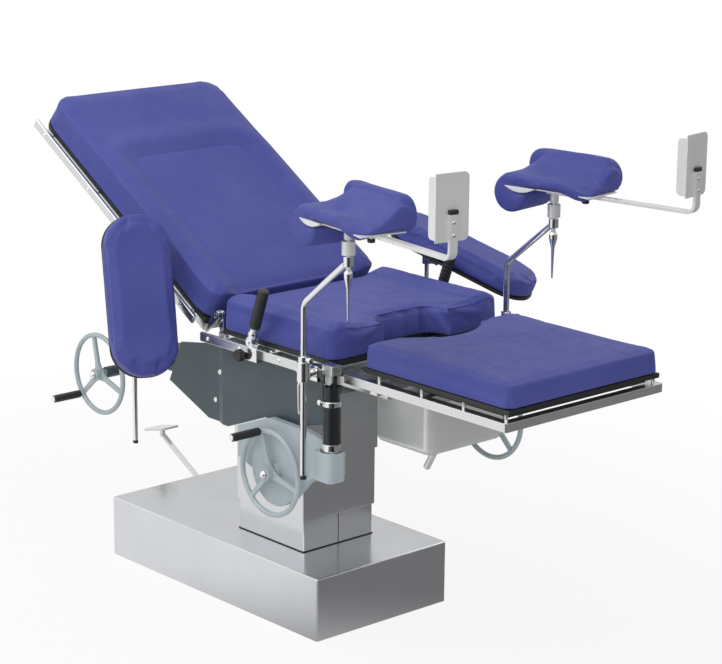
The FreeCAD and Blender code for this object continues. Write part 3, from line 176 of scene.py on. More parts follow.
# Painted shade on the floor, seen only by glossy rays: darker toward the foot end, where the foot section's
# shadow falls, and along a strip behind the camera.
painted_shade_level = calc(tree, "MULTIPLY", ramp(tree, toward_foot.outputs["Value"], -0.5, 0.62, 1.0, 0.22),
                    calc(tree, "SUBTRACT", 1.0, calc(tree, "MULTIPLY", strip, 0.88)))
path = put(tree, "LightPath")
straight = calc(tree, "MAXIMUM", path.outputs["Is Camera Ray"], path.outputs["Is Transmission Ray"])
share = calc(tree, "MAXIMUM", calc(tree, "MULTIPLY", straight, paper_share), path.outputs["Is Glossy Ray"])
glow = put(tree, "Emission", {"Color": (1, 1, 1, 1)})
glow_level = put(tree, "Mix", {2: 1.0}, data_type="FLOAT")
wire(tree, (path.outputs["Is Glossy Ray"], glow_level.inputs[0]), (painted_shade_level, glow_level.inputs[3]),
     (glow_level.outputs[0], glow.inputs["Strength"]))
mixed = put(tree, "MixShader")
wire(tree, (share, mixed.inputs[0]), (matt.outputs[0], mixed.inputs[1]), (glow.outputs[0], mixed.inputs[2]),
     (mixed.outputs[0], put(tree, "OutputMaterial").inputs["Surface"]))
floor.data.materials.append(paper)


# The pedestal: folded stainless sheet over a base plate, and three telescoping column covers.
# The sheet is brushed along its length, its folds are rounded, and each fold carries a painted highlight.
def shader_group(name, inputs, outputs):
    group = bpy.data.node_groups.new(name, "ShaderNodeTree")
    for label, kind, value in inputs:
        socket = group.interface.new_socket(name=label, in_out="INPUT", socket_type="NodeSocket" + kind)
        socket.default_value = value
    for label, kind in outputs:
        group.interface.new_socket(name=label, in_out="OUTPUT", socket_type="NodeSocket" + kind)
    return group, group.nodes.new("NodeGroupInput"), group.nodes.new("NodeGroupOutput")


# Rounded edges: brushed metal lightens its colour there as a painted highlight, and enamel pales there as
# wear.
worn_and_highlit_edges, taken, given = shader_group(
    "worn_and_highlit_edges", [("Radius", "Float", 0.0015)], [("Mask", "Float"), ("Normal", "Vector")])
rounded = put(worn_and_highlit_edges, "Bevel", samples=4)
flat_normal = put(worn_and_highlit_edges, "NewGeometry")
turn = put(worn_and_highlit_edges, "VectorMath", operation="DOT_PRODUCT")
wire(worn_and_highlit_edges, (taken.outputs["Radius"], rounded.inputs["Radius"]), (rounded.outputs[0], turn.inputs[0]),
     (flat_normal.outputs["Normal"], turn.inputs[1]), (rounded.outputs[0], given.inputs["Normal"]),
     (ramp(worn_and_highlit_edges, turn.outputs["Value"], 0.985, 0.85), given.inputs["Mask"]))

grain_lines, taken, given = shader_group(
    "grain_lines", [("Stretch", "Vector", (2.0, 900.0, 900.0))], [("Lines", "Float"), ("Cloud", "Float")])
stretched = put(grain_lines, "VectorMath", operation="MULTIPLY")
fine = put(grain_lines, "TexNoise", {"Scale": 1.0, "Detail": 3.0, "Roughness": 0.6})
broad = put(grain_lines, "TexNoise", {"Scale": 5.0, "Detail": 2.0})
place = put(grain_lines, "TexCoord").outputs["Object"]
wire(grain_lines, (place, stretched.inputs[0]), (taken.outputs["Stretch"], stretched.inputs[1]),
     (stretched.outputs[0], fine.inputs["Vector"]), (place, broad.inputs["Vector"]),
     (fine.outputs["Fac"], given.inputs["Lines"]), (broad.outputs["Fac"], given.inputs["Cloud"]))


def new_finish(name, **sockets):
    made = bpy.data.materials.new(name)
    made.use_nodes = True
    made.node_tree.nodes.clear()
    shader = put(made.node_tree, "BsdfPrincipled", {k.replace("_", " "): v for k, v in sockets.items()})
    wire(made.node_tree, (shader.outputs[0], put(made.node_tree, "OutputMaterial").inputs["Surface"]))
    return made, made.node_tree, shader


def group_in(tree, group, **inputs):
    made = put(tree, "Group")
    made.node_tree = group
    for key, value in inputs.items():
        made.inputs[key].default_value = value
    return made


def brushed_metal(name, dark, light, stretch, rough_low, rough_high, edge=0.0015, groove=0.02, metal=1.0):
    made, tree, shader = new_finish(name, Metallic=metal)
    lines = group_in(tree, grain_lines, Stretch=stretch)
    edges = group_in(tree, worn_and_highlit_edges, Radius=edge)
    tone = calc(tree, "ADD", calc(tree, "MULTIPLY", lines.outputs["Lines"], 0.5),
                calc(tree, "MULTIPLY", lines.outputs["Cloud"], 0.5))
    colour = blend_colour(tree, ramp(tree, tone, 0.35, 0.65), dark, light)
    bump = put(tree, "Bump", {"Strength": groove, "Distance": 0.0004})
    # Edges take a colour 12 % lighter than the light tone: a painted highlight on the rounded folds.
    painted_edge_highlight = tuple(min(1, c * 1.12) for c in light[:3]) + (1,)
    wire(tree, (lines.outputs["Lines"], bump.inputs["Height"]),
         (edges.outputs["Normal"], bump.inputs["Normal"]),
         (blend_colour(tree, edges.outputs["Mask"], colour, painted_edge_highlight), shader.inputs["Base Color"]),
         (ramp(tree, lines.outputs["Lines"], 0.3, 0.7, rough_low, rough_high), shader.inputs["Roughness"]),
         (bump.outputs[0], shader.inputs["Normal"]))
    return made


satin_steel = brushed_metal("satin_steel", (0.635, 0.645, 0.665, 1), (0.675, 0.685, 0.705, 1), (7, 7, 2400),
                            0.15, 0.24, groove=0.004)


def dress(material, names):
    for name in names.split():
        for slot in cad[name].material_slots:
            slot.material = material


dress(satin_steel, "base_plate base_cover lower_column_cover middle_column_cover column_head")


# The dark rubber gasket where the column stands on the base, and the seams of the two-part lower cover.
# The gasket is a flat strip folded round the column, and each seam is a thin sealing strip.
def only(*chosen):
    if bpy.context.object and bpy.context.object.mode != "OBJECT":
        bpy.ops.object.mode_set(mode="OBJECT")
    bpy.ops.object.select_all(action="DESELECT")
    for piece in chosen:
        piece.select_set(True)
        bpy.context.view_layer.objects.active = piece


def settle(piece, matrix=None):
    """Write the piece's place into its mesh."""
    only(piece)
    if matrix is not None:
        piece.matrix_world = matrix @ piece.matrix_world
    bpy.context.view_layer.update()
    bpy.ops.object.transform_apply(location=True, rotation=True, scale=True)
    return piece


def block(name, low, high):
    only()
    low, high = Vector(low), Vector(high)
    bpy.ops.mesh.primitive_cube_add(size=1, location=(low + high) / 2)
    piece = bpy.context.object
    piece.name = name
    piece.scale = high - low
    return settle(piece)


def modify(piece, kind, **settings):
    only(piece)
    modifier = piece.modifiers.new(kind.lower(), kind)
    for key, value in settings.items():
        setattr(modifier, key, value)
    bpy.ops.object.modifier_apply(modifier=modifier.name)
    return piece


def soften(piece, width, segments=3, angle=30):
    modify(piece, "BEVEL", width=width, segments=segments, limit_method="ANGLE",
           angle_limit=math.radians(angle))
    only(piece)
    bpy.ops.object.shade_smooth_by_angle(angle=math.radians(40))
    return piece


def fit(piece, material, body):
    """Finish a piece: its material and the body that it rides on."""
    piece.data.materials.clear()
    piece.data.materials.append(material)
    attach(piece, body)
    return piece


black_board, tree, shader = new_finish("black_board", Roughness=0.5)
edges = group_in(tree, worn_and_highlit_edges, Radius=0.002)
specks = put(tree, "TexNoise", {"Scale": 700.0, "Detail": 2.0})
clouds = put(tree, "TexNoise", {"Scale": 9.0, "Detail": 2.0})
place = put(tree, "TexCoord").outputs["Object"]
bump = put(tree, "Bump", {"Strength": 0.15, "Distance": 0.0004})
wire(tree, (place, specks.inputs["Vector"]), (place, clouds.inputs["Vector"]),
     (specks.outputs["Fac"], bump.inputs["Height"]),
     (edges.outputs["Normal"], bump.inputs["Normal"]), (bump.outputs[0], shader.inputs["Normal"]),
     (blend_colour(tree, clouds.outputs["Fac"], (0.007, 0.008, 0.009, 1), (0.016, 0.017, 0.018, 1)),
      shader.inputs["Base Color"]),
     (ramp(tree, clouds.outputs["Fac"], 0.3, 0.7, 0.42, 0.58), shader.inputs["Roughness"]))

low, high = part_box("lower_column_cover")
gasket = block("column_gasket", (low.x - 0.0012, low.y - 0.0012, low.z + 0.0002),
               (high.x + 0.0012, high.y + 0.0012, low.z + 0.0028))
hollow = block("hollow", (low.x + 0.001, low.y + 0.001, low.z - 0.01),
               (high.x - 0.001, high.y - 0.001, low.z + 0.02))
modify(gasket, "BOOLEAN", operation="DIFFERENCE", object=hollow, solver="EXACT")
bpy.data.objects.remove(hollow)
soften(gasket, 0.0006, 2)
fit(gasket, black_board, "base")
for name, face in (("cover_seam_head", low.x), ("cover_seam_foot", high.x)):
    seam = block(name, (face - 0.0005, -0.0011, low.z + 0.003), (face + 0.0005, 0.0011, low.z + 0.089))
    soften(seam, 0.0003, 2)
    fit(seam, black_board, "base")


# Polished and plated metal: rails, clamps, leg holders and small fittings.
# Plated parts are bright, with faint smears and a soft highlight on each corner.
chrome, tree, shader = new_finish("chrome", Metallic=1.0)
smears = put(tree, "TexNoise", {"Scale": 28.0, "Detail": 4.0, "Roughness": 0.65})
edges = group_in(tree, worn_and_highlit_edges, Radius=0.0012)
wire(tree, (put(tree, "TexCoord").outputs["Object"], smears.inputs["Vector"]),
     (blend_colour(tree, smears.outputs["Fac"], (0.74, 0.75, 0.75, 1), (0.84, 0.85, 0.85, 1)),
      shader.inputs["Base Color"]),
     (ramp(tree, smears.outputs["Fac"], 0.3, 0.75, 0.05, 0.14), shader.inputs["Roughness"]),
     (edges.outputs["Normal"], shader.inputs["Normal"]))
bar_grain = (9, 1600, 1600)
satin_bar = brushed_metal("satin_bar", (0.60, 0.61, 0.60, 1), (0.66, 0.67, 0.66, 1), bar_grain,
                          0.14, 0.24, groove=0.005)
satin_rail = brushed_metal("satin_rail", (0.68, 0.69, 0.69, 1), (0.74, 0.75, 0.75, 1), bar_grain,
                           0.26, 0.34, groove=0.005)
satin_plate = brushed_metal("satin_plate", (0.70, 0.71, 0.70, 1), (0.78, 0.79, 0.78, 1), bar_grain,
                            0.32, 0.42, groove=0.005, metal=0.42)
dress(chrome, "accessory_clamps leg_clamps strut_knob arm_clamp_near")
dress(satin_rail, "seat_rails back_rails foot_frame")
dress(satin_bar, "seat_frame back_frame pump_pedal")


# Oiled steel inside: the hydraulic unit, its ram, the lead screw and the nut.
# These stay dark, with a thin film of oil.
oiled_steel = brushed_metal("oiled_steel", (0.10, 0.10, 0.105, 1), (0.20, 0.20, 0.20, 1), (60, 60, 60),
                            0.3, 0.45)
dress(oiled_steel, "hydraulic_unit lift_ram back_nut back_screw")


# Enamelled parts: dark grey side plates, and light grey castings with their handwheels.
# The enamel is stoved, with a slight orange peel, and thinner and paler on the corners.
def enamel(name, dark, light, worn, rough_low, rough_high, peel, edge):
    made, tree, shader = new_finish(name, Specular_IOR_Level=0.45)
    clouds = put(tree, "TexNoise", {"Scale": 6.0, "Detail": 3.0})
    skin = put(tree, "TexNoise", {"Scale": 260.0, "Detail": 2.0})
    edges = group_in(tree, worn_and_highlit_edges, Radius=edge)
    place = put(tree, "TexCoord").outputs["Object"]
    bump = put(tree, "Bump", {"Strength": peel, "Distance": 0.0005})
    colour = blend_colour(tree, ramp(tree, clouds.outputs["Fac"], 0.3, 0.7), dark, light)
    wire(tree, (place, clouds.inputs["Vector"]), (place, skin.inputs["Vector"]),
         (skin.outputs["Fac"], bump.inputs["Height"]), (edges.outputs["Normal"], bump.inputs["Normal"]),
         (bump.outputs[0], shader.inputs["Normal"]),
         (blend_colour(tree, calc(tree, "MULTIPLY", edges.outputs["Mask"], 0.5), colour, worn),
          shader.inputs["Base Color"]),
         (ramp(tree, clouds.outputs["Fac"], 0.3, 0.7, rough_low, rough_high), shader.inputs["Roughness"]))
    return made


dark_enamel = enamel("dark_enamel", (0.055, 0.080, 0.094, 1), (0.070, 0.098, 0.112, 1), (0.12, 0.15, 0.16, 1),
                     0.34, 0.44, 0.12, 0.002)
grey_casting = enamel("grey_casting", (0.40, 0.47, 0.50, 1), (0.46, 0.53, 0.56, 1), (0.56, 0.62, 0.64, 1),
                      0.28, 0.40, 0.2, 0.003)
dress(dark_enamel, "side_plates back_drive_housing")
dress(grey_casting, "tilt_gear_housing foot_drive_housing tilt_handwheel back_handwheel foot_handwheel")


# Two bright slotted screws in the near side plate and two in the far one.
# They hold the plates to the hubs of the tilt shaft.
def lathe(name, profile, sides=32):
    """A round piece along Z, drawn out ring by ring from its lower end."""
    only()
    radius, height = profile[0]
    bpy.ops.mesh.primitive_circle_add(vertices=sides, radius=radius, location=(0, 0, height),
                                      fill_type="NGON")
    piece = settle(bpy.context.object)
    piece.name = name
    bpy.ops.object.mode_set(mode="EDIT")
    bpy.ops.mesh.select_all(action="SELECT")
    for (r0, z0), (r1, z1) in zip(profile, profile[1:]):
        bpy.ops.mesh.extrude_region_move(TRANSFORM_OT_translate={"value": (0, 0, z1 - z0)})
        bpy.ops.transform.resize(value=(r1 / r0, r1 / r0, 1), center_override=(0, 0, 0))
    bpy.ops.mesh.select_all(action="SELECT")
    bpy.ops.mesh.normals_make_consistent(inside=False)
    bpy.ops.object.mode_set(mode="OBJECT")
    bpy.ops.object.shade_smooth_by_angle(angle=math.radians(35))
    return piece


def joined(name, *parts):
    only(*parts)
    bpy.context.view_layer.objects.active = parts[0]
    bpy.ops.object.join()
    parts[0].name = name
    return parts[0]


def cut(piece, tool, operation="DIFFERENCE"):
    modify(piece, "BOOLEAN", operation=operation, object=tool, solver="EXACT")
    bpy.data.objects.remove(tool)
    return piece


def copy_of(piece, name, matrix=None):
    made = piece.copy()
    made.data = piece.data.copy()
    made.name = name
    scene.collection.objects.link(made)
    if matrix is not None:
        settle(made, matrix)
    return made


def facing(point, outward):
    """Stand a lathe piece on a point with its axis along outward."""
    return Matrix.Translation(point) @ Vector(outward).to_track_quat("Z", "Y").to_matrix().to_4x4()


both_sides = (("near", -1), ("far", 1))
screw = lathe("plate_screw", [(0.0074, -0.0005), (0.0074, 0.0012), (0.0066, 0.0026), (0.0046, 0.0034),
                              (0.0005, 0.0037)], 24)
cut(screw, block("slot", (-0.009, -0.0006, 0.0022), (0.009, 0.0006, 0.006)))
plate_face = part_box("side_plates")[0].y
for index, (x, z, turned) in enumerate(((0.088, 0.668, 0.4), (0.060, 0.584, 1.1))):
    step = 0.012 if x < 0.075 else 0.005
    for side, sign in both_sides:
        spot = facing((x, sign * (abs(plate_face) - step), z), (0, sign, 0)) @ Matrix.Rotation(turned, 4, "Z")
        fit(copy_of(screw, "plate_screw_%s_%d" % (side, index), spot), chrome, "tabletop")
bpy.data.objects.remove(screw)


# Soft black parts: the ribbed grips of the handwheels, the hand grips and the knobs.
# They are moulded rubber, with a matt skin.
black_grip, tree, shader = new_finish("black_grip", Roughness=0.45)
skin = put(tree, "TexNoise", {"Scale": 500.0, "Detail": 2.0})
clouds = put(tree, "TexNoise", {"Scale": 40.0, "Detail": 2.0})
place = put(tree, "TexCoord").outputs["Object"]
bump = put(tree, "Bump", {"Strength": 0.2, "Distance": 0.0004})
edges = group_in(tree, worn_and_highlit_edges, Radius=0.0015)
wire(tree, (place, skin.inputs["Vector"]), (place, clouds.inputs["Vector"]),
     (skin.outputs["Fac"], bump.inputs["Height"]),
     (edges.outputs["Normal"], bump.inputs["Normal"]), (bump.outputs[0], shader.inputs["Normal"]),
     (blend_colour(tree, clouds.outputs["Fac"], (0.010, 0.011, 0.012, 1), (0.022, 0.023, 0.024, 1)),
      shader.inputs["Base Color"]),
     (ramp(tree, clouds.outputs["Fac"], 0.3, 0.7, 0.32, 0.5), shader.inputs["Roughness"]))
black_tube = enamel("black_tube", (0.010, 0.012, 0.014, 1), (0.016, 0.018, 0.020, 1), (0.05, 0.05, 0.05, 1),
                    0.16, 0.26, 0.04, 0.001)
dress(black_grip, "tilt_wheel_grip back_wheel_grip foot_wheel_grip hand_grip_near hand_grip_far "
                  "grip_knob_near grip_knob_far")
dress(black_tube, "strut_lower strut_upper")
dress(black_board, "seat_board back_board foot_board")
for side in ("near", "far"):
    names = "leg_clamp_lever leg_collar leg_post leg_lock_lever arm_bracket".split()
    dress(chrome, " ".join(name + "_" + side for name in names))
    dress(satin_plate, "calf_shell_%s foot_bar_%s" % (side, side))
dress(satin_plate, "waste_pan")


# The strut: a black telescopic tube with a bright bell above its foot and a bright collar at its mouth.
# Both are turned rings pressed over the lower tube.
def bored(piece, radius, low, high):
    return cut(piece, lathe("bore", [(radius, low), (radius, high)]))


strut = Matrix.Translation((0.588, -0.305, 0))
for name, profile in (
        ("strut_bell", [(0.0238, 0.5700), (0.0245, 0.5706), (0.0246, 0.5730), (0.0243, 0.5890),
                        (0.0240, 0.5945), (0.0234, 0.5950)]),
        ("strut_collar", [(0.0238, 0.6930), (0.0247, 0.6936), (0.0247, 0.7058), (0.0238, 0.7068)])):
    ring = bored(lathe(name, profile, 48), 0.0204, 0.55, 0.72)
    fit(settle(ring, strut), chrome, "strut_foot")


# The cranks of the handwheels: ribbed black sleeves turning on their spindles, held by bright acorn nuts.
# A hexagon nut with a domed end holds each wheel on its shaft.
def ribbed(name, start, ribs, end):
    """A ribbed sleeve; ribs gives the outer radius, groove radius, first height, pitch and count."""
    radius, groove, first, pitch, count = ribs
    profile = list(start)
    for index in range(count):
        z = first + index * pitch
        profile += [(radius, z), (radius, z + 0.60 * pitch),
                    (groove, z + 0.74 * pitch), (groove, z + 0.92 * pitch)]
    return lathe(name, profile + list(end), 36)


sleeve = ribbed("sleeve", [(0.0086, 0.0), (0.0106, 0.0014)], (0.0110, 0.0098, 0.0050, 0.0089, 9),
                [(0.0108, 0.0866), (0.0104, 0.0890), (0.0082, 0.0900)])
bored(sleeve, 0.0052, -0.01, 0.1)
cap = lathe("cap", [(0.0072, 0.0), (0.0078, 0.0008), (0.0074, 0.0026), (0.0040, 0.0046),
                    (0.0005, 0.0052)], 24)
hexagon = lathe("hexagon", [(0.0104, 0.0), (0.0110, 0.0008), (0.0110, 0.0066), (0.0100, 0.0074)], 6)
dome = lathe("dome", [(0.0080, 0.0060), (0.0074, 0.0100), (0.0046, 0.0128), (0.0005, 0.0138)], 24)
hub_nut = joined("hub_nut", hexagon, dome)
for wheel, sign, hub in (("tilt", -1, (0.358, -0.334, 0.462)), ("back", -1, (-0.430, -0.308, 0.558)),
                         ("foot", 1, (0.551, 0.318, 0.541))):
    nut = copy_of(hub_nut, "hub_nut_" + wheel, facing(hub, (0, sign, 0)))
    fit(nut, chrome, wheel + "_wheel")
    low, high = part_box(wheel + "_wheel_grip")
    if high.y - low.y < 0.05:
        continue
    axis_x, axis_z = (low.x + high.x) / 2, (low.z + high.z) / 2
    grip = copy_of(sleeve, "crank_grip_" + wheel, facing((axis_x, high.y, axis_z), (0, sign, 0)))
    fit(grip, black_grip, wheel + "_grip")
    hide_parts(wheel + "_wheel_grip")
    nut = copy_of(cap, "crank_nut_" + wheel, facing((axis_x, low.y - 0.0004, axis_z), (0, sign, 0)))
    fit(nut, chrome, wheel + "_wheel")
for piece in (sleeve, cap, hub_nut):
    bpy.data.objects.remove(piece)


# The hand grips: a ribbed black handle on a bright turned knuckle that pivots on its rail clamp.
# A fluted black knob beside each one tightens the clamp.
eye = lathe("eye", [(0.0108, -0.0105), (0.0129, -0.0090), (0.0132, 0.0090), (0.0108, 0.0105)], 40)
settle(bored(eye, 0.0051, -0.02, 0.02), Matrix.Rotation(math.pi / 2, 4, "X"))
neck = lathe("neck", [(0.0085, 0.0070), (0.0118, 0.0130), (0.0136, 0.0200), (0.0130, 0.0265),
                      (0.0098, 0.0315), (0.0092, 0.0350), (0.0118, 0.0370), (0.0118, 0.0415)], 40)
knuckle_piece = joined("grip_knuckle", eye, neck)
handle = ribbed("handle", [(0.0110, 0.0410), (0.0142, 0.0420), (0.0150, 0.0450)],
                (0.0151, 0.0140, 0.0480, 0.0118, 8),
                [(0.0150, 0.1440), (0.0150, 0.1485), (0.0132, 0.1528), (0.0090, 0.1540)])
knob = lathe("knob", [(0.0084, 0.0), (0.0098, 0.0006), (0.0134, 0.0034), (0.0134, 0.0128), (0.0118, 0.0160),
                      (0.0066, 0.0168), (0.0005, 0.0170)], 80)
for vertex in knob.data.vertices:
    reach = math.hypot(vertex.co.x, vertex.co.y)
    if reach > 0.0115:
        flute = 1 - 0.11 * max(0.0, math.cos(10 * math.atan2(vertex.co.y, vertex.co.x))) ** 2
        vertex.co.x *= flute
        vertex.co.y *= flute
knob_screw = lathe("knob_screw", [(0.0038, -0.0095), (0.0040, -0.0090), (0.0040, 0.0004)], 20)
fluted_knob = joined("fluted_knob", knob, knob_screw)
grip_x, grip_y, grip_z, grip_lean = 0.300, 0.331, 0.806, math.radians(20)
for side, sign in both_sides:
    pose = Matrix.Translation((grip_x, sign * grip_y, grip_z)) @ Matrix.Rotation(grip_lean, 4, "Y")
    body = "hand_grip_body_" + side
    bright = fit(copy_of(knuckle_piece, "grip_knuckle_" + side, pose), chrome, body)
    black = fit(copy_of(handle, "grip_handle_" + side, pose), black_grip, body)
    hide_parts("hand_grip_" + side)
    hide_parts("hand_grip_" + side)
    spot = facing((0.262, sign * 0.329, 0.7625), (0, sign, 0)) @ Matrix.Scale(1.22, 4)
    turned_knob = copy_of(fluted_knob, "clamp_knob_" + side, spot)
    fit(turned_knob, black_grip, "knob_body_" + side)
    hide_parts("grip_knob_" + side)


# The leg holders' small fittings: the wing lever of each rail clamp, the knob under each calf rest,
# and black plugs that close the lower ends of the leg and arm posts.
lever_head = lathe("lever_head", [(0.0086, 0.0), (0.0100, 0.0014), (0.0100, 0.0146), (0.0086, 0.0160)], 36)
settle(lever_head, Matrix.Translation((-0.0165, 0, 0)) @ Matrix.Rotation(math.pi / 2, 4, "Y"))
lever_pin = lathe("lever_pin", [(0.0050, -0.002), (0.0050, 0.016)], 24)
settle(lever_pin, Matrix.Rotation(math.pi / 2, 4, "Y"))
blade = lathe("blade", [(0.0005, -0.1180), (0.0040, -0.1172), (0.0064, -0.1140), (0.0072, -0.1060),
                        (0.0086, -0.0600), (0.0090, -0.0400), (0.0072, -0.0310), (0.0046, -0.0250),
                        (0.0044, -0.0080)], 32)
settle(blade, Matrix.Translation((-0.0085, 0, 0)) @ Matrix.Diagonal((0.62, 1.0, 1.0, 1.0)))
lever = joined("lever", lever_head, lever_pin, blade)
plug = lathe("plug", [(0.0066, -0.0042), (0.0084, -0.0032), (0.0087, 0.0060), (0.0080, 0.0066)], 28)
leg_x, leg_y, leg_splay = 0.705, 0.358, math.radians(8.5)
leg_pose = {side: Matrix.Translation((leg_x, sign * leg_y, 0)) @ Matrix.Rotation(sign * leg_splay, 4, "Z")
            for side, sign in both_sides}
for side, sign in both_sides:
    wing_lever = copy_of(lever, "wing_lever_" + side, Matrix.Translation((0.501, sign * 0.328, 0.7705)))
    fit(wing_lever, chrome, "leg_lever_" + side)
    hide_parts("leg_clamp_lever_" + side)
    spot = leg_pose[side] @ facing((0.098, 0, 1.1680), (0, 0, -1)) @ Matrix.Scale(0.72, 4)
    bar_knob = copy_of(fluted_knob, "bar_knob_" + side, spot)
    fit(bar_knob, black_grip, "calf_rest_" + side)
    leg_plug = copy_of(plug, "leg_post_plug_" + side, Matrix.Translation((0.540, sign * 0.358, 0.503)))
    fit(leg_plug, black_grip, "leg_post_body_" + side)
for side, spot in (("near", (-0.146, -0.375, 0.440)), ("far", (0.196, 0.388, 0.700))):
    arm_plug = copy_of(plug, "arm_post_plug_" + side, Matrix.Translation(spot) @ Matrix.Scale(0.84, 4))
    fit(arm_plug, black_grip, "arm_post_body_" + side)
for piece in (knuckle_piece, handle, fluted_knob, lever, plug):
    bpy.data.objects.remove(piece)


# The rails are held on their spacers by bright button-head screws with a hexagon recess.
# The seat rails have four a side, and the back rails four a side along the raised frame.
button = lathe("button", [(0.0054, -0.0004), (0.0056, 0.0006), (0.0050, 0.0018), (0.0034, 0.0028),
                          (0.0005, 0.0030)], 24)
cut(button, lathe("recess", [(0.0021, 0.0012), (0.0021, 0.0060)], 6))
hinge_x, hinge_z, back_angle = 0.100, 0.830, math.radians(31.3)
back_pose = Matrix.Translation((hinge_x, 0, hinge_z)) @ Matrix.Rotation(back_angle, 4, "Y")
for side, sign in both_sides:
    for index, x in enumerate((0.100, 0.232, 0.392, 0.474)):
        spot = facing((x, sign * 0.316, 0.7705), (0, sign, 0))
        head = copy_of(button, "seat_rail_screw_%s_%d" % (side, index), spot)
        fit(head, chrome, "tabletop")
    for index, x in enumerate((-0.110, -0.350, -0.590, -0.830)):
        spot = back_pose @ facing((x, sign * 0.316, -0.051), (0, sign, 0))
        head = copy_of(button, "back_rail_screw_%s_%d" % (side, index), spot)
        fit(head, chrome, "back")
bpy.data.objects.remove(button)


# Blue leatherette over foam: the cover of every cushion and pad.
# It has a fine pebbled grain, a soft sheen and slightly darker stitched channels.
vinyl, tree, shader = new_finish("blue_leatherette", Specular_IOR_Level=0.26, Sheen_Weight=0.04,
                                 Sheen_Roughness=0.5)
pebbles = put(tree, "TexVoronoi", {"Scale": 620.0}, feature="SMOOTH_F1")
clouds = put(tree, "TexNoise", {"Scale": 4.5, "Detail": 4.0})
creases = put(tree, "TexNoise", {"Scale": 26.0, "Detail": 5.0, "Distortion": 0.6})
place = put(tree, "TexCoord").outputs["Object"]
height = calc(tree, "ADD", calc(tree, "MULTIPLY", pebbles.outputs["Distance"], 0.6),
              calc(tree, "MULTIPLY", creases.outputs["Fac"], 0.8))
bump = put(tree, "Bump", {"Strength": 0.22, "Distance": 0.0008})
blue = blend_colour(tree, ramp(tree, clouds.outputs["Fac"], 0.3, 0.7), (0.058, 0.070, 0.300, 1),
                    (0.071, 0.083, 0.325, 1))
wire(tree, (place, pebbles.inputs["Vector"]), (place, clouds.inputs["Vector"]),
     (place, creases.inputs["Vector"]), (height, bump.inputs["Height"]),
     (bump.outputs[0], shader.inputs["Normal"]), (blue, shader.inputs["Base Color"]),
     (ramp(tree, creases.outputs["Fac"], 0.3, 0.7, 0.50, 0.62), shader.inputs["Roughness"]))


# The seat cushion: a foam slab in a stitched leatherette cover, notched at its foot edge.
# Its sides are raised a little round the middle, and the cover gathers in the notch.
def pick_edges(piece, test):
    only(piece)
    bpy.ops.object.mode_set(mode="EDIT")
    bpy.ops.mesh.select_mode(type="EDGE")
    bpy.ops.mesh.select_all(action="DESELECT")
    bpy.ops.object.mode_set(mode="OBJECT")
    points = piece.data.vertices
    for edge in piece.data.edges:
        edge.select = test(points[edge.vertices[0]].co, points[edge.vertices[1]].co)
    bpy.ops.object.mode_set(mode="EDIT")


def round_corners(piece, radius, test, segments=8):
    """Round the upright edges whose middle passes the test."""
    def upright(a, b):
        return (a - b).length > 0.01 and abs(a.x - b.x) + abs(a.y - b.y) < 1e-5

    pick_edges(piece, lambda a, b: upright(a, b) and test((a + b) / 2))
    bpy.ops.mesh.bevel(offset=radius, segments=segments, affect="EDGES")
    bpy.ops.object.mode_set(mode="OBJECT")


def smooth_step(value, low, high):
    share = min(1.0, max(0.0, (value - low) / (high - low)))
    return share * share * (3 - 2 * share)


def swell(piece, pressure, cap, rests):
    """Blow the cover up on its foam with Cloth, its underside held, no point moving past the cap."""
    only(piece)
    held = piece.vertex_groups.new(name="rests")
    held.add([v.index for v in piece.data.vertices if rests(v.co)], 1.0, "REPLACE")
    start = [v.co.copy() for v in piece.data.vertices]
    cloth = piece.modifiers.new("swell", "CLOTH")
    cloth.settings.quality = 3
    cloth.settings.use_pressure = True
    cloth.settings.uniform_pressure_force = pressure
    cloth.settings.effector_weights.gravity = 0
    cloth.settings.vertex_group_mass = "rests"
    cloth.collision_settings.use_collision = False
    for step in range(1, 21):
        scene.frame_set(step)
    bpy.ops.object.modifier_apply(modifier="swell")
    scene.frame_set(1)
    piece.vertex_groups.clear()
    for vertex, before in zip(piece.data.vertices, start):
        move = vertex.co - before
        if move.length > cap:
            vertex.co = before + move * (cap / move.length)


def upholster(piece, voxel, rounding, pressure, cap, rests):
    modify(piece, "REMESH", mode="VOXEL", voxel_size=voxel)
    modify(piece, "SMOOTH", factor=0.5, iterations=rounding)
    swell(piece, pressure, cap, rests)
    modify(piece, "SUBSURF", levels=1, render_levels=1)
    only(piece)
    bpy.ops.object.shade_smooth()


def press_in(piece, depth):
    """Move each point inward along its normal by depth of its place, in metres."""
    shift = [vertex.normal * -depth(vertex.co, vertex.normal) for vertex in piece.data.vertices]
    for vertex, move in zip(piece.data.vertices, shift):
        vertex.co += move


def bell(distance, width):
    return math.exp(-(distance / width) ** 2)


inset, lift_off = 0.004, 0.0003


def pad_block(name, low, high):
    """A block just inside a cushion's box that stands on its board."""
    return block(name, (low.x + inset, low.y + inset, low.z + lift_off),
                 (high.x - inset, high.y - inset, high.z - inset))


low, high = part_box("seat_cushion")
seat = pad_block("seat_pad", low, high)
round_corners(seat, 0.024, lambda middle: True)
notch_half, notch_depth = 0.105 + inset, 0.065 + inset
notch = block("notch", (high.x - notch_depth, -notch_half, low.z - 0.02),
              (high.x + 0.1, notch_half, high.z + 0.02))
round_corners(notch, 0.046, lambda middle: middle.x < high.x)
cut(seat, notch)
upholster(seat, 0.006, 3, 3.5, 0.006, lambda co: co.z < low.z + 0.004)
seat_top = high.z


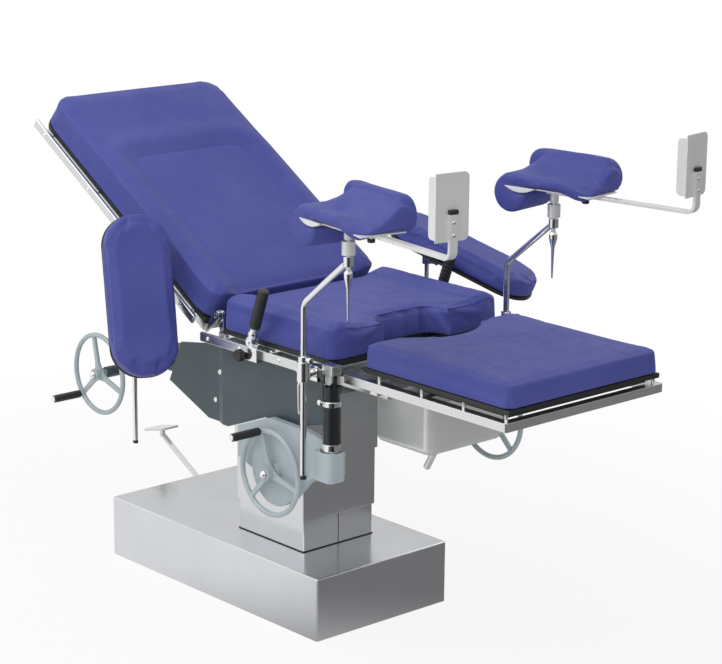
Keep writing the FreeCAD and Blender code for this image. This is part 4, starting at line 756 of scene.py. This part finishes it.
def seat_dents(co, normal):
    side = abs(co.y)
    panel = (1 - smooth_step(side, 0.185, 0.222)) * smooth_step(co.z, seat_top - 0.03, seat_top - 0.01)
    groove = bell(side - 0.205, 0.005) * max(0.0, normal.z) * 0.0034
    corner_seam = bell(co.x - (high.x - 0.03), 0.003) * (1 - abs(normal.z)) * (0.0015 if side > 0.25 else 0)
    in_notch = 1 - smooth_step(abs(co.y), notch_half - 0.01, notch_half + 0.005)
    wall = in_notch * max(0.0, normal.x) * (1 - abs(normal.z))
    folds = 0.0035 * math.sin(co.y * 95 + 5 * (co.z - seat_top)) * wall
    crest = 0.007 * bell(side - 0.252, 0.026) * max(0.0, normal.z)
    return 0.007 * panel + groove + corner_seam + folds + 0.002 * wall - crest


press_in(seat, seat_dents)
fit(seat, vinyl, "tabletop")
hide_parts("seat_cushion")


# The back cushion: a long slab with side bolsters and a broad head bolster round a lower stitched panel.
# It is modelled flat toward the head end, and then raised about the hinge to the back's angle.
foot_x, head_x, under, over, half = -0.016, -0.894, -0.034, 0.044, 0.300
back = block("back_pad", (head_x + inset, -half + inset, under + lift_off),
             (foot_x - inset, half - inset, over - 0.002))
round_corners(back, 0.058, lambda middle: middle.x < -0.5)
round_corners(back, 0.040, lambda middle: middle.x > -0.1, 6)
upholster(back, 0.008, 4, 3.5, 0.007, lambda co: co.z < under + 0.004)
panel_half, panel_head, panel_round = 0.200, -0.600, 0.045


def panel_distance(co):
    """Distance outside the stitched panel's outline, below zero inside it; the panel is open to the seat."""
    dx = (panel_head + panel_round) - co.x
    dy = abs(co.y) - (panel_half - panel_round)
    return math.hypot(max(dx, 0), max(dy, 0)) + min(max(dx, dy), 0) - panel_round


def back_dents(co, normal):
    away = panel_distance(co)
    top = smooth_step(co.z, over - 0.045, over - 0.02) * max(0.0, normal.z)
    sunk = 0.0085 * (1 - smooth_step(away, -0.008, 0.045))
    groove = 0.0026 * bell(away + 0.004, 0.0045)
    crown = 0.0055 * bell(away - 0.058, 0.034)
    return (sunk + groove - crown) * top


press_in(back, back_dents)
settle(back, back_pose)
fit(back, vinyl, "back")
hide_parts("back_cushion")


# The foot cushion: a flat slab with a hollowed head edge that takes the seat's notch.
# Its cover is cut plainly, with an upright seam at each corner.
low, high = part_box("foot_cushion")
foot_low, foot_high = low.copy(), high.copy()
foot = pad_block("foot_pad", low, high)
round_corners(foot, 0.024, lambda middle: True)
arc_half, arc_depth = 0.140, 0.062
arc = (arc_half ** 2 + arc_depth ** 2) / (2 * arc_depth)
only()
bpy.ops.mesh.primitive_cylinder_add(vertices=96, radius=arc + inset, depth=0.3,
                                    location=(low.x + arc_depth - arc, 0, high.z))
cut(foot, settle(bpy.context.object))
upholster(foot, 0.006, 2, 3.5, 0.006, lambda co: co.z < foot_low.z + 0.004)


def foot_dents(co, normal):
    upright = 1 - min(1.0, abs(normal.z) * 1.5)
    corner = min(abs(co.x - (foot_high.x - 0.012)), abs(co.x - (foot_low.x + 0.012)))
    seam = 0.0016 * bell(corner, 0.003) * upright * smooth_step(abs(co.y), 0.24, 0.25)
    return seam


press_in(foot, foot_dents)
fit(foot, vinyl, "foot_section")
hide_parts("foot_cushion")


# A painted shade under the foot board: a black strip along its sides and its foot edge, where the gap above
# the rails is in shade. It closes that gap, behind the bright standoffs.
low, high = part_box("foot_board")
shade_strip_inset, shade_strip_thick, shade_strip_drop, shade_strip_head = 0.024, 0.003, 0.013, 0.180
strips = []
for sign in (-1, 1):
    inner, outer = sorted((sign * (high.y - shade_strip_inset - shade_strip_thick), sign * (high.y - shade_strip_inset)))
    strips.append(block("strip", (low.x + shade_strip_head, inner, low.z - shade_strip_drop),
                        (high.x - shade_strip_inset, outer, low.z + 0.001)))
strips.append(block("strip", (high.x - shade_strip_inset - shade_strip_thick, -high.y + shade_strip_inset, low.z - shade_strip_drop),
                    (high.x - shade_strip_inset, high.y - shade_strip_inset, low.z + 0.001)))
fit(joined("foot_board_shade_strip", *strips), black_board, "foot_section")


# The calf pads: thick foam over a steel saddle, rolled under at the head end round the saddle's liner.
# A tall rounded wing stands along one edge, and the near edge dips at the foot end.
shell_top = 1.168 + 0.018 + 0.003
calf_head, calf_foot, calf_half, roll_radius, wing_top = -0.095, 0.150, 0.075, 0.051, shell_top + 0.078
lip = shell_top + 0.031
trough_deep, foot_dip, wing_rise = 0.011, 0.019, 0.030
calf = block("calf_pad", (calf_head, -calf_half + 0.003, shell_top + 0.0006),
             (calf_foot - 0.003, calf_half + 0.01, lip))
round_corners(calf, 0.052, lambda middle: middle.x > 0 and middle.y < 0)
only()
bpy.ops.mesh.primitive_cylinder_add(vertices=64, radius=roll_radius, depth=2 * calf_half - 0.006,
                                    rotation=(math.pi / 2, 0, 0), location=(calf_head, 0, lip - roll_radius))
cut(calf, settle(bpy.context.object), "UNION")
wing = block("wing", (calf_head - 0.042, calf_half - 0.008, shell_top - 0.012),
             (calf_foot - 0.004, calf_half + 0.029, wing_top))
pick_edges(wing, lambda a, b: abs(a.x - b.x) + abs(a.z - b.z) < 1e-5)
bpy.ops.mesh.bevel(offset=0.042, segments=10, affect="EDGES")
bpy.ops.object.mode_set(mode="OBJECT")
cut(calf, wing, "UNION")
only()
bpy.ops.mesh.primitive_cylinder_add(vertices=64, radius=0.088, depth=0.3, rotation=(math.pi / 2, 0, 0),
                                    location=(calf_head + 0.034, -0.085, shell_top + 0.074))
lens = settle(bpy.context.object)
cut(lens, block("cap", (-0.3, -0.3, shell_top), (0.1, 0.2, shell_top + 0.3)))
liner = copy_of(lens, "calf_liner")
cut(liner, block("trim", (-0.3, -0.4, shell_top - 0.1), (0.1, -calf_half + 0.0015, shell_top + 0.1)))
cut(liner, block("trim", (-0.3, -0.018, shell_top - 0.1), (0.1, 0.4, shell_top + 0.1)))
cut(calf, lens)
modify(calf, "REMESH", mode="VOXEL", voxel_size=0.005)
for vertex in calf.data.vertices:
    co = vertex.co
    foot_end = smooth_step(co.x, 0.050, 0.150)
    near_edge = smooth_step(-co.y, 0.0, 0.070)
    if co.z > lip - 0.004 and co.y < calf_half + 0.005:
        rise = smooth_step(co.y, -0.005, 0.068) * smooth_step(co.x, -0.120, -0.070)
        co.z = max(co.z, lip + wing_rise * rise)
    upper = smooth_step(co.z, shell_top + 0.008, lip)
    trough = smooth_step(co.x, -0.09, 0.0) * max(0.0, 1 - ((co.y + 0.012) / 0.062) ** 2) * upper
    co.z -= trough_deep * trough + foot_dip * foot_end * near_edge + 0.004 * foot_end
upholster(calf, 0.004, 10, 3.0, 0.005, lambda co: co.z < shell_top + 0.002 and co.x > -0.03)
for side, sign in both_sides:
    piece = copy_of(calf, "calf_pad_soft_" + side, leg_pose[side])
    fit(piece, vinyl, "calf_rest_" + side)
    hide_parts("calf_pad_" + side)
    piece = copy_of(liner, "calf_liner_" + side, leg_pose[side])
    fit(piece, satin_plate, "calf_rest_" + side)
bpy.data.objects.remove(calf)
bpy.data.objects.remove(liner)


# The foot rests: two domed rivets hold each plate to its bar, and a black plug closes the bar's upper end.
# The plug is a moulded cap pushed over the flat bar.
bar_end = soften(block("bar_end", (0.4238, -0.0124, 1.2820), (0.4342, 0.0124, 1.2930)), 0.0022, 3)
rivet = lathe("rivet", [(0.0046, -0.0004), (0.0044, 0.0008), (0.0032, 0.0019), (0.0005, 0.0024)], 20)
for side, sign in both_sides:
    fit(copy_of(bar_end, "bar_end_" + side, leg_pose[side]), black_grip, "foot_rest_" + side)
    for index, height in enumerate((1.234, 1.264)):
        spot = leg_pose[side] @ facing((0.433, 0, height), (1, 0, 0))
        head = copy_of(rivet, "plate_rivet_%s_%d" % (side, index), spot)
        fit(head, chrome, "foot_rest_" + side)
bpy.data.objects.remove(bar_end)
bpy.data.objects.remove(rivet)


# The arm boards: a black laminated board with two hinge lugs and a round-ended foam pad on it.
# Each is modelled upright with its pad toward the near side, and then turned and tilted on its post.
arm_half, arm_long, lug_drop, board_back, board_thick = 0.093, 0.440, 0.065, -0.022, 0.008
pad_back = board_back - board_thick - 0.0003
arm_pad = block("arm_pad", (-arm_half + 0.003, pad_back - 0.049, -arm_long / 2 + 0.003 - lug_drop),
                (arm_half - 0.003, pad_back, arm_long / 2 - 0.003 - lug_drop))


def round_ends(piece, radius):
    pick_edges(piece, lambda a, b: abs(a.x - b.x) + abs(a.z - b.z) < 1e-5)
    bpy.ops.mesh.bevel(offset=radius, segments=16, affect="EDGES")
    bpy.ops.object.mode_set(mode="OBJECT")


round_ends(arm_pad, 0.084)
upholster(arm_pad, 0.005, 5, 3.5, 0.007, lambda co: co.y > pad_back - 0.004)


def arm_dents(co, normal):
    dx = abs(co.x)
    dz = max(0.0, abs(co.z + lug_drop) - (arm_long / 2 - arm_half))
    edge = arm_half - math.hypot(dx, dz)
    face = max(0.0, -normal.y)
    return (0.0009 * bell(edge - 0.024, 0.005) + 0.001 * smooth_step(edge, 0.03, 0.06)) * face


press_in(arm_pad, arm_dents)
arm_plate = block("arm_plate",
                  (-arm_half + 0.002, board_back - board_thick, -arm_long / 2 + 0.002 - lug_drop),
                  (arm_half - 0.002, board_back, arm_long / 2 - 0.002 - lug_drop))
round_ends(arm_plate, 0.083)
soften(arm_plate, 0.0015, 2)
lugs = []
for x in (-0.016, 0.016):
    lug = block("lug", (x - 0.004, board_back - 0.001, -0.012), (x + 0.004, 0.009, 0.012))
    lugs.append(soften(lug, 0.002, 2))
pin = lathe("pin", [(0.0046, -0.024), (0.0050, -0.0235), (0.0050, 0.0235), (0.0046, 0.024)], 24)
lugs.append(settle(pin, Matrix.Rotation(math.pi / 2, 4, "Y")))
arm_hinge = joined("arm_hinge", *lugs)
arm_places = (("near", -0.146, -0.375, 0.919, 65, -20), ("far", 0.196, 0.388, 0.903, 117, -68))
for side, x, y, height, turned, tilt in arm_places:
    turned = math.radians(turned)
    pose = (Matrix.Translation((x + 0.03 * math.sin(turned), y - 0.03 * math.cos(turned), height))
            @ Matrix.Rotation(turned, 4, "Z") @ Matrix.Rotation(math.radians(tilt), 4, "X"))
    pad = fit(copy_of(arm_pad, "arm_pad_" + side, pose), vinyl, "arm_rest_" + side)
    board = fit(copy_of(arm_plate, "arm_plate_" + side, pose), black_board, "arm_rest_" + side)
    lug = fit(copy_of(arm_hinge, "arm_hinge_" + side, pose), chrome, "arm_rest_" + side)
    for piece in (pad, board, lug):
        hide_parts("arm_board_" + side)
for piece in (arm_pad, arm_plate, arm_hinge):
    bpy.data.objects.remove(piece)
